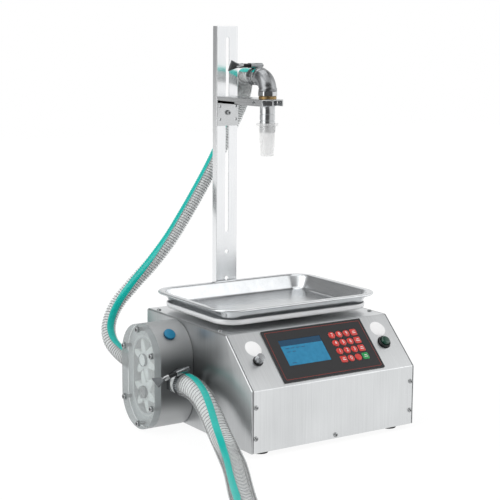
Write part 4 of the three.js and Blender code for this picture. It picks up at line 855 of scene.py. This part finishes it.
# Acrylic shows the rotors through its face, and its sawn and polished edge looks grey
acrylic = see_through("clear acrylic", "#e3e7e8", "#f3f6f6", "#f4f5f5", 0.12, (0.17, 0.23), 25.0, ior=1.49)
acrylic_edge = see_through("acrylic edge", "#8f9496", "#c2c6c7", "#b0b4b5", 0.2, (0.55, 0.7), 60.0, ior=1.49)
cover = layered("pump_cover_plate", [
    (outer, COVER_BACK), (outer, COVER_FRONT + 0.8), (chamfered, COVER_FRONT)],
    pump_place, [acrylic, acrylic_edge], sharp=40.0)
cover = cut(cover, [drill(radius, 0.0, depth, inward(COVER_FRONT - 2, z, y))
                    for y, z in screw_circle for radius, depth in ((5.3, 4.6), (3.3, 20.0))]
            + [drill(11.1, 0.0, 7.4, inward(COVER_BACK - 5.4, z)) for z in (LOWER_AXIS, UPPER_AXIS)])
face_material(cover, lambda face: abs(face.normal.x) < 0.9)
belongs(cover, "machine", "clear_acrylic", "pump_cover")

seal_rubber = plastic("seal rubber", "#d6d8d8", "#e8eaea", (0.4, 0.55))
cord, cord_inner = obround(43.2, 71.7), obround(40.4, 68.9)
seal = layered("cover_seal_cord", [(cord, FACE), (cord, FACE + 2.1), (cord_inner, FACE + 2.1),
                                   (cord_inner, FACE)], pump_place, seal_rubber, wrap=True, edge=0.3)
belongs(seal, "machine", "white_seal", "cover_seal")

# Nylon stays bright and matt behind the acrylic, and the lower boss is the shaft's plain steel
nylon = plastic("white nylon", "#eceeed", "#fafaf9", (0.32, 0.45))
shaft_steel = metal("shaft steel", "#6f7172", "#8d8f90", (0.2, 0.34), even(400.0))


LOBES, ROOT_RADIUS, LOBE_HEIGHT, LOBE_SHARPNESS = 6, 17.5, 19.5, 1.3


def lobe_outline(inset):
    """A rotor's round lobes, between its root circle and its tips."""
    def radius(angle):
        return ROOT_RADIUS + LOBE_HEIGHT * (0.5 + 0.5 * math.cos(LOBES * angle)) ** LOBE_SHARPNESS - inset
    return polar(radius, 144, turn=math.pi / 12)


for name, axis in (("upper_rotor", UPPER_AXIS), ("lower_rotor", LOWER_AXIS)):
    upper = axis == UPPER_AXIS
    place = facing((0, PUMP_Y, axis), RIGHT, BACK)
    near, far = FACE + 0.6, FACE + 44.6
    full, small = lobe_outline(0.0), lobe_outline(0.8)
    lobes = layered("lobes", [(small, near), (full, near + 0.8), (full, far - 0.8), (small, far)],
                    place, nylon, sharp=50)
    boss = turned("boss", [(10.5, near + 2.0), (10.5, near - 4.3), (9.8, near - 4.9), (6.0, near - 4.9),
                           (5.6, near - 4.4), (0.2, near - 4.4)], place, nylon if upper else shaft_steel)
    shaft = turned("shaft", [(8.0, far - 1.0), (8.0, far + (11.1 if upper else 40.0))], place, shaft_steel,
                   edge=0.25)
    belongs(merged(f"{name}_lobes", [lobes, boss, shaft]), name, "white_nylon", name)


def ribbed_loop(radius, depth, count, steps):
    """A circle with shallow ribs round it."""
    return polar(lambda a: radius + depth * math.cos(count * a), steps)


# Blue plastic, whose ribbed rim takes a darker copy of it as painted shade
blue = plastic("blue plastic", "#006c94", "#0588b0", (0.3, 0.42), bump=0.08)
blue_rib_shade = plastic("blue plastic ribs", "#023f58", "#06597a", (0.4, 0.5), bump=0.08)
plug_rim = ribbed_loop(10.1, 0.45, 20, 96)
plug = layered("pump_plug_head", [
    (round_loop(6.9, 96), -7.0), (round_loop(6.9, 96), 0.3), (plug_rim, 0.3), (plug_rim, 4.1),
    (round_loop(9.9, 96), 4.6), (round_loop(9.2, 96), 4.95)], plug_place, [blue, blue_rib_shade], sharp=50.0)
# The ribbed rim's faces take the painted rib shade
face_material(plug, lambda face: abs(face.normal.dot(plug_out)) < 0.4)
belongs(plug, "machine", "blue_plastic", "pump_plug")
dress("pump_motor", plastic("motor paint", "#35383a", "#4a4d50", (0.4, 0.55)), 0.8)

# Stainless hose tails with a hexagon flange, and worm drive clamps: a slotted band, a pressed housing and a
# worm, which has a thumb key on the two clamps that show and a slotted hexagon head on the third.
clamp_steel = metal("clamp steel", "#8d9092", "#b6b9bb", (0.14, 0.26), even(500.0), bump=0.04)
housing_steel = metal("clamp housing steel", "#7b7e80", "#a2a5a7", (0.16, 0.26), even(300.0), bump=0.04)
worm_black = metal("blackened worm", "#232425", "#37393a", (0.3, 0.45), even(400.0), bump=0.04,
                   metallic=0.7)
key_metal = metal("thumb key metal", "#4b4e50", "#6c6f71", (0.3, 0.44), even(250.0))
dress("suction_port", clamp_steel, 0.5)
dress("delivery_port", clamp_steel, 0.5)
WORM_RISE = 5.25


def hexagon_loop(flats, radius):
    """A hexagon whose corners are turned off at a radius."""
    return polar(lambda a: min(flats / 2 / math.cos((a % (math.pi / 3)) - math.pi / 6), radius), 48, 0.5)


def clamp_place(centre, turn):
    """The frame of a clamp: its Z towards the front, its Y towards its housing, turned about its Z."""
    return facing(centre, FRONT, RIGHT) @ Matrix.Rotation(math.radians(turn), 4, "Z")


def worm_place(radius, place):
    """The place of a clamp's worm, whose own Z is the worm's axis."""
    return place @ Matrix.Translation((0, radius + WORM_RISE, 0)) @ Matrix.Rotation(math.pi / 2, 4, "Y")


SLOTS, SLOTS_ROUND, PAST_HOUSING = 32, 38, math.pi * 0.67


def band_slots(name, centre, turn, outer):
    """The slanted slots pressed through a clamp's band, as shallow plates of dark painted shade set round it.
    """
    slot = prism("slot", rounded(1.2, 8.0, 0.5, 3), -0.3, 0.07, OWN_SIZE @ Matrix.Rotation(0.2, 4, "Z"),
                 slot_shade)
    scene.collection.objects.unlink(slot)
    places = []
    for i in range(SLOTS):
        angle = math.radians(turn) + PAST_HOUSING + 2 * math.pi * (i + 0.5) / SLOTS_ROUND
        out = Vector((math.cos(angle), 0.0, math.sin(angle)))
        places.append((tuple(Vector(centre) + out * outer), tuple(out)))
    return set_screws(name, slot, places, slot_shade, turn=0.0)


def worm_clamp(name, radius, place, far=12.5):
    """A clamp round its own Z, with its housing towards its own Y and its worm along its own X."""
    inner, outer = radius + 0.3, radius + 1.2
    band = turned("band", [(inner, -6.0), (outer, -6.0), (outer, 6.0), (inner, 6.0)], place, clamp_steel,
                  wrap=True, edge=0.2, steps=72)
    small, full = rounded(12.2, 8.4, 2.6, 6), rounded(13.0, 9.0, 3.0, 6)
    shell = layered("shell", [(small, -far), (full, 0.5 - far), (full, far - 0.5), (small, far)],
                    worm_place(radius, place), housing_steel)
    saddle = prism("saddle", rounded(18.0, 10.0, 1.0, 3), outer - 0.4, outer + 1.2,
                   place @ Matrix.Rotation(-math.pi / 2, 4, "X"), housing_steel, edge=0.3)
    return merged(name, [band, shell, saddle])


def thumb_key(name, radius, place, lean):
    """The thumb key of a clamp: a black worm, a light neck and a wing flattened from its end."""
    tilt = Matrix.Rotation(math.radians(lean), 4, "X")
    onto_worm = Matrix(((0, 0, -1, 0), (1, 0, 0, 0), (0, -1, 0, 0), (0, 0, 0, 1)))
    along = place @ Matrix.Translation((0, radius + WORM_RISE, 0)) @ tilt @ onto_worm
    thread = [(2.6, -16.2), (2.6, -13.0), (3.3, -12.8)]
    for turn in range(9):
        thread += [(3.3, 12.0 + turn * 1.6), (3.75, 12.8 + turn * 1.6)]
    worm = turned("worm", thread + [(3.3, 27.0)], along, worm_black, steps=28)
    neck = turned("neck", [(3.9, 26.4), (4.5, 27.0), (4.6, 31.0), (4.1, 36.0), (2.2, 40.5)], along,
                  screw_steel, steps=32)
    wing = layered("wing", [(rounded(2 * half, 2 * thick, thick * 0.95, 6), level) for half, thick, level in (
        (3.4, 2.6, 34.5), (4.4, 2.5, 37.0), (5.6, 2.0, 40.5), (7.6, 1.7, 45.0), (9.8, 1.5, 49.5),
        (10.9, 1.4, 52.3), (10.8, 1.1, 53.2), (10.2, 0.6, 53.6))], along, key_metal, sharp=60)
    return merged(name, [worm, neck, wing])


def keyed_clamp(name, radius, centre, turn, body, key, key_body, lean):
    """A whole clamp with its thumb key."""
    place = clamp_place(centre, turn)
    belongs(worm_clamp(f"{name}_worm", radius, place), body, "polished_steel", name)
    belongs(band_slots(f"{name}_slots", centre, turn, radius + 1.2), body, "polished_steel")
    belongs(thumb_key(f"{key}_wing", radius, place, lean), key_body, "dark_steel", key)


keyed_clamp("suction_clamp", 20.0, (-204, 154.2, PUMP_Z), 15.0, "machine", "suction_thumb_key",
            "suction_thumb_key", -56.0)
delivery_centre = (-204, 327.8, PUMP_Z)
delivery_place = clamp_place(delivery_centre, 0.0)
delivery_clamp = worm_clamp("delivery_clamp_worm", 14.0, delivery_place, far=12.4)
delivery_worm = worm_place(14.0, delivery_place)
head = layered("head", [(hexagon_loop(7.0, 4.6), 12.8), (hexagon_loop(8.0, 4.6), 13.4),
                        (hexagon_loop(8.0, 4.6), 17.0), (hexagon_loop(6.6, 4.0), 17.5)],
               delivery_worm, screw_steel, sharp=25)
head = cut(head, [prism("cutter", rounded(1.2, 12.0, 0.1, 1), 16.0, 19.0, delivery_worm, [])])
belongs(merged("delivery_clamp_set", [delivery_clamp, head]), "machine", "polished_steel", "delivery_clamp")
belongs(band_slots("delivery_clamp_slots", delivery_centre, 0.0, 15.2), "machine", "polished_steel")

# ---------------------------------------------------------------- Weighing platform
# An aluminium load cell on a crossbar carries a pale support pan, and the pressed stainless tray lies in it.
cell_metal = metal("load cell aluminium", "#b4b6b8", "#cbcdce", (0.3, 0.42), (20.0, 500.0, 500.0))
dress("load_cell", cell_metal, 0.5)
# The support looks nearly white, and the tray's smooth sheet mirrors softly
support_metal = metal("support metal", "#e6e7e8", "#f4f5f6", (0.28, 0.38), even(30.0), bump=0.03,
                      metallic=0.2)
tray_metal = metal("tray steel", "#c8cbcd", "#e0e2e4", (0.18, 0.27), (45.0, 12.0, 45.0), bump=0.03)
platform = facing((0, 214, 0), UP, RIGHT)


def pan(name, width, depth, corner, material, profile):
    """A pressed pan, skinned through the insets and heights of its profile."""
    layers = [(rounded(width - 2 * inset, depth - 2 * inset, max(corner - inset, 6.0), 10), z)
              for inset, z in profile]
    return layered(name, layers, platform, material, sharp=70)


support = pan("tray_support_pan", 316, 224, 40, support_metal, [
    (12.0, 198.0), (5.0, 198.0), (3.1, 198.4), (1.5, 199.5), (0.4, 201.1), (0.0, 203.0), (0.0, 206.6),
    (0.4, 207.6), (1.2, 208.0), (2.2, 207.6), (2.5, 206.6), (2.6, 203.0), (3.6, 200.8), (5.0, 200.0),
    (12.0, 200.0)])
post = prism("post", rounded(24, 24, 1.5, 2), 162.3, 199.0, facing((48, 214, 0), UP, RIGHT),
             support_metal, edge=0.3)
belongs(merged("tray_support_assembly", [support, post]), "machine", "support_aluminium", "tray_support")
tray = pan("weighing_tray_pan", 340, 250, 45, tray_metal, [
    (60.0, 200.3), (28.0, 200.3), (25.9, 200.6), (24.0, 201.4), (22.6, 202.6), (21.6, 204.2),
    (12.6, 221.6), (11.7, 223.4), (10.3, 225.0), (8.6, 225.9), (5.0, 226.0), (4.0, 225.4), (3.6, 224.4),
    (3.3, 223.4), (2.4, 222.8), (1.3, 223.0), (0.5, 223.8), (0.1, 225.0), (0.3, 226.1), (1.0, 226.8),
    (2.2, 227.0), (6.0, 227.0), (10.0, 226.9), (11.4, 226.3), (12.6, 225.1), (13.6, 223.2),
    (22.4, 206.0), (23.2, 204.4), (24.4, 202.7), (26.2, 201.6), (28.6, 201.3), (60.0, 201.3)])
belongs(tray, "tray", "tray_steel", "weighing_tray")

# ---------------------------------------------------------------- Pole and arm
# A folded stainless channel, slotted so that the arm clamps at any height, bolted behind the housing.
# The pole's grain runs up and the arm's from front to back, which gives both long soft streaks
# The pole and the arm are one brushed steel in two tints: the pole's near white is painted light, the arm's
# grey is painted shade
pole_steel_lit = metal("brushed pole", "#eceef0", "#fbfcfd", (0.19, 0.29), (900.0, 900.0, 7.0), bump=0.08)
arm_steel_shaded = metal("brushed arm", "#bbbdbe", "#dadcdd", (0.22, 0.32), (800.0, 8.0, 800.0), bump=0.08)
dress("pole", pole_steel_lit, 1.4, segments=4)
dress("arm_bracket", arm_steel_shaded, 0.45)
bolt_front = facing((0, 342.7, 539), FRONT, RIGHT)
bolt_rear = facing((0, 347.6, 539), BACK, RIGHT)
bolt_head = turned("bolt_head", [(4.5, 0.0), (4.5, 3.2), (4.2, 3.8), (3.6, 4.0)], bolt_front, screw_steel)
bolt = [cut(bolt_head, [prism("cutter", hexagon_loop(4.0, 2.4), 1.4, 6.0, bolt_front, [])]),
        turned("shank", [(2.8, -5.0), (2.8, 7.2)], bolt_rear, screw_steel, steps=24),
        turned("washer", [(11.0, 0.0), (11.0, 1.5)], bolt_rear, screw_steel, edge=0.25),
        layered("nut", [(hexagon_loop(8.2, 4.6), 1.5), (hexagon_loop(9.0, 5.1), 2.0),
                        (hexagon_loop(9.0, 5.1), 5.0), (hexagon_loop(8.2, 4.6), 5.5)],
                bolt_rear, screw_steel, sharp=25)]
belongs(merged("arm_clamp_bolt_set", bolt), "arm", "polished_steel", "arm_clamp_bolt")

# ---------------------------------------------------------------- Filling nozzle
# Polished stainless fittings screwed together through the arm: a lock nut, a brass ring, an elbow with its
# hose tail, and a grooved tube that a soft translucent silicone tip is pushed over.
# Polished fittings mirror the room sharply, and the satin elbow between them looks darker
fitting_steel = metal("polished fitting", "#b9bbbd", "#d6d8d9", (0.08, 0.14), even(70.0), bump=0.003)
elbow_steel = metal("satin elbow", "#7c7e80", "#989a9c", (0.24, 0.30), even(160.0), bump=0.03)
brass = metal("brass", "#8a7350", "#b59a68", (0.2, 0.32), even(200.0))
nozzle = facing((0, 214, 0), UP, BACK)
TAIL_Y, TAIL_Z = 238, 607.6
ELBOW_TURN, ELBOW_RADIUS, ELBOW_RIM, ELBOW_STEPS = 24, 15.6, 0.9, 24
nut_full, nut_small = hexagon_loop(30.0, 17.0), hexagon_loop(28.4, 15.6)
nut = layered("nozzle_lock_nut_hexagon", [
    (round_loop(10.3), 557.3), (nut_small, 557.3), (nut_full, 558.2), (nut_full, 565.8), (nut_small, 566.7),
    (round_loop(10.3), 566.7)], nozzle, fitting_steel, wrap=True, sharp=25)
belongs(nut, "arm", "polished_steel", "nozzle_lock_nut")
brass_ring = turned("brass_ring_turned", [
    (10.3, 569.3), (15.4, 569.3), (16.0, 569.9), (16.0, 571.3), (15.6, 571.8), (16.0, 572.3), (16.0, 573.7),
    (15.4, 574.3), (10.3, 574.3)], nozzle, brass, wrap=True, steps=64)
belongs(brass_ring, "arm", "brass", "brass_ring")

collar = layered("collar", [(hexagon_loop(28.6, 15.8), 574.6), (nut_full, 575.4), (nut_full, 582.6),
                            (hexagon_loop(28.8, 16.0), 583.4)], nozzle, fitting_steel, sharp=25)
bend = []
for i in range(ELBOW_STEPS + 1):
    angle = math.pi / 2 * i / ELBOW_STEPS
    centre = Vector((0, TAIL_Y - ELBOW_TURN * math.cos(angle), TAIL_Z - ELBOW_TURN * (1 - math.sin(angle))))
    lead, side = Vector((0, math.sin(angle), math.cos(angle))), Vector(RIGHT)
    radius = ELBOW_RADIUS + (ELBOW_RIM if min(i, ELBOW_STEPS - i) < 3 else 0.0)
    bend.append([at(*place) for place in ring(centre, side, lead.cross(side), radius)])
elbow_bend = skinned("bend", bend, elbow_steel, False, 50.0)
ridges = [(10.5, 0.0)]
RIDGE_PITCH = 26 / 3
for i in range(3):
    ridges += [(10.5, i * RIDGE_PITCH + 0.6), (9.5, (i + 1) * RIDGE_PITCH)]
elbow_tail = turned("tail", ridges, facing((0, TAIL_Y, TAIL_Z), BACK, RIGHT), fitting_steel)
belongs(merged("nozzle_elbow_fitting", [collar, elbow_bend, elbow_tail]), "arm", "dark_steel", "nozzle_elbow")

tube_profile = [(7.5, 511.0), (13.1, 511.0), (13.5, 511.5)]
for z in (532.2, 543.2):
    tube_profile += [(13.5, z - 1.0), (12.7, z - 0.6), (12.7, z + 0.6), (13.5, z + 1.0)]
tube_profile += [(13.3, 550.0), (13.5, 556.5), (13.1, 557.0), (10.0, 557.0), (10.0, 582.2), (7.5, 582.2)]
tube = turned("nozzle_tube_turned", tube_profile, nozzle, fitting_steel, wrap=True, steps=56)
belongs(tube, "arm", "dark_steel", "nozzle_tube")

# Soft silicone looks cloudy and lets the tube show faintly
silicone = see_through("translucent silicone", "#e9eeee", "#fafafa", "#fcfcfc", 0.38, (0.22, 0.30), 90.0)
tip = turned("nozzle_tip_sleeve", [
    (10.0, 469.0), (11.6, 469.0), (12.0, 469.5), (13.6, 496.0), (14.3, 509.0), (14.7, 520.5), (15.3, 522.2),
    (18.8, 523.0), (19.5, 523.6), (19.5, 526.2), (18.9, 527.0), (13.9, 527.0), (13.8, 526.4),
    (13.8, 511.2), (13.4, 510.7), (11.8, 510.7), (11.0, 494.0)], nozzle, silicone, wrap=True, steps=56)
belongs(tip, "arm", "soft_silicone", "nozzle_tip")

keyed_clamp("nozzle_clamp", 14.0, (0, 254.3, TAIL_Z), 0.0, "arm", "clamp_thumb_key", "thumb_key", 31.0)

# ---------------------------------------------------------------- Control panel
# A charcoal film with a fine red border, a blue screen, embossed keys, and round white bare labels beside it.
dress("control_overlay", plastic("charcoal film", "#1e1e20", "#262628", (0.38, 0.5)), 0.15)
red_line = plastic("red print", "#a83428", "#b84436", (0.4, 0.5))
outer, inner = rounded(200.5, 94.5, 2.2, 4), rounded(199.5, 93.5, 1.95, 4)
border = layered("overlay_border", [(outer, 0.0), (outer, 0.08), (inner, 0.08), (inner, 0.0)],
                 on_slope(2.0, 57.75, 2.02), red_line, wrap=True)
belongs(border, "machine", "key_red")

# The screen's blue field with a dark title bar across it, lit faintly from behind
screen, tree = new_material("blue screen", "#3a93c8")
BAR_FOOT, BAR_TOP = 0.0752, 0.0870
rise = vectors(tree, "DOT_PRODUCT", object_place(tree), tuple(SLOPE_UP))
foot = at(0, *FOOT_OF_SLOPE).dot(SLOPE_UP)
title_bar = maths(tree, "MULTIPLY", maths(tree, "GREATER_THAN", rise, foot + BAR_FOOT),
                  maths(tree, "LESS_THAN", rise, foot + BAR_TOP))
blue_field = two_colours(tree, object_noise(tree, 120.0, 3.0), "#1a6d94", "#2d8ab2")
field = two_colours(tree, maths(tree, "MULTIPLY", title_bar, 0.9), blue_field, "#0f3450")
output(tree, principled(tree, field, 0.22, IOR=1.45, Emission_Color=field, Emission_Strength=0.12))
dress("lcd_screen", screen, 0.15)
pixel = plastic("screen segments", "#123c5e", "#184a70", (0.3, 0.4))
dashes = [prism("dash", rounded(length, 1.1, 0.3, 2), 0.0, 0.06, on_slope(start + length / 2, up, 1.72),
                pixel)
          for up, starts, length in ((70.0, (-71, -60, -49, -38), 7.0), (63.0, (-71, -60), 7.0),
                                     (41.0, (-71,), 9.0)) for start in starts]
belongs(merged("screen_segments", dashes), "machine", "lcd_blue")

# The keys' embossed film is glossy, and what is printed on it is matt
key_red = plastic("red key", "#c8302a", "#dc4038", (0.26, 0.38), bump=0.04, coat=0.3)
key_green = plastic("green key", "#0c8a44", "#18a152", (0.26, 0.38), bump=0.04, coat=0.3)
print_white = plastic("white print", "#e3dedc", "#f2eeec", (0.4, 0.5))
FIRST_KEY, KEY_PITCH, FIRST_ROW, ROW_PITCH = 32.5, 15.6, 33.3, 16.6
KEY_LEVEL, PRINT_LEVEL = 0.9, 2.9


def printed_digit(name, digit, place):
    """A digit printed on a key."""
    text = bpy.data.curves.new(name, "FONT")
    text.body = digit
    text.size = 0.0092
    text.extrude = 0.00006
    text.align_x, text.align_y = "CENTER", "CENTER"
    drawn = linked(f"{name}_text", text)
    mesh = applied(drawn)
    bpy.data.objects.remove(drawn)
    mesh.transform(place @ Matrix.Scale(1000.0, 4))
    mesh.materials.clear()
    mesh.materials.append(print_white)
    return linked(name, mesh)


key_rows = [["function_a", "0", "point", "function_go"], ["1", "2", "3", "function_b"],
            ["4", "5", "6", "function_c"], ["7", "8", "9", "function_d"]]
for row, names in enumerate(key_rows):
    for column, key in enumerate(names):
        across, up = FIRST_KEY + column * KEY_PITCH, FIRST_ROW + row * ROW_PITCH
        node = f"key_{key}"
        slot, paint = ("key_green", key_green) if key == "function_go" else ("key_red", key_red)
        if key.startswith("function"):
            outlines = [rounded(13.2 - 2 * i, 13.2 - 2 * i, 2.4, 5) for i in (0.1, 0.0, 0.0, 0.4, 1.0)]
            levels = (0.0, 0.1, 1.2, 1.75, 2.0)
        else:
            outlines = [round_loop(6.65 - i) for i in (0.1, 0.0, 0.0, 0.5, 1.6, 3.2)]
            levels = (0.0, 0.1, 1.0, 1.55, 1.85, 2.0)
        cap = layered(f"{node}_cap", list(zip(outlines, levels)), on_slope(across, up, KEY_LEVEL), paint,
                      sharp=60)
        belongs(cap, node, slot, node)
        if key.isdigit():
            digit = printed_digit(f"{node}_digit", key, on_slope(across, up, PRINT_LEVEL))
            belongs(digit, node, "white_nylon")
        elif key != "point":
            bars = [prism("bar", rounded(width, 1.2, 0.3, 2), 0.0, 0.1,
                          on_slope(across, up + rise, PRINT_LEVEL), print_white)
                    for width, rise in ((5.4, 1.6), (7.2, -1.6))]
            belongs(merged(f"{node}_marks", bars), node, "white_nylon")

label_white = plastic("label paper", "#f6f6f6", "#fdfdfd", (0.5, 0.62))
for name, across, up in (("label_left", -130.3, 80.0), ("label_right", 134.7, 84.0)):
    label = turned(name, [(15.0, 0.0), (15.0, 0.14), (14.9, 0.18)], on_slope(across, up, 0.02), label_white,
                   steps=72)
    belongs(label, "machine", "white_nylon")

# A flow knob turned from metal, its grip fluted, over a black plastic skirt
knob_metal = metal("knurled knob metal", "#9b9d9f", "#cbcdcf", (0.22, 0.34), even(400.0))
knob_cap = metal("knob cap", "#a9abad", "#c9cbcd", (0.2, 0.3), even(30.0))
knob_place = on_slope(*KNOB)
flutes, top_flutes = ribbed_loop(6.75, 0.25, 28, 112), ribbed_loop(6.55, 0.15, 28, 112)
knob = [
    turned("skirt", [(8.4, 0.3), (9.0, 0.7), (9.0, 1.6), (8.2, 1.9)], knob_place, black_plastic, steps=112),
    layered("grip", [(flutes, 1.8), (flutes, 13.6), (top_flutes, 14.2)], knob_place, knob_metal, sharp=60),
    turned("crown", [(6.6, 14.0), (6.6, 14.7), (6.1, 15.2), (5.0, 15.3)], knob_place, knob_cap),
    turned("shaft", [(3.0, -15.0), (3.0, 1.6)], knob_place, shaft_steel, steps=28)]
belongs(merged("flow_knob_turned", knob), "flow_knob", "knob_metal", "flow_knob")

# A green push button in a black bezel, with its switch barrel behind the sheet
button_place = on_slope(*BUTTON)
bezel = [
    turned("ring", [(8.6, 4.6), (9.2, 5.1), (10.0, 5.3), (10.7, 4.7), (11.0, 3.6), (11.0, 0.3), (8.7, 0.3)],
           button_place, black_plastic, wrap=True, steps=64),
    turned("barrel", [(8.6, -12.0), (12.0, -12.0), (12.0, -1.8), (8.6, -1.8)], button_place, black_plastic,
           wrap=True, edge=0.25),
    turned("base", [(12.0, -24.0), (12.0, -12.0)], button_place, black_plastic, edge=0.25)]
belongs(merged("button_bezel_set", bezel), "machine", "black_plastic", "button_bezel")
green_cap = plastic("green cap", "#07382a", "#0d4a38", (0.12, 0.2), bump=0.02, coat=0.6)
cap = turned("start_button_cap", [(8.0, -1.0), (8.0, 7.4), (7.8, 8.2), (7.0, 8.9), (5.6, 9.3), (3.2, 9.55),
                                  (0.8, 9.6)], button_place, green_cap, steps=64)
belongs(cap, "start_button", "green_cap", "start_button")
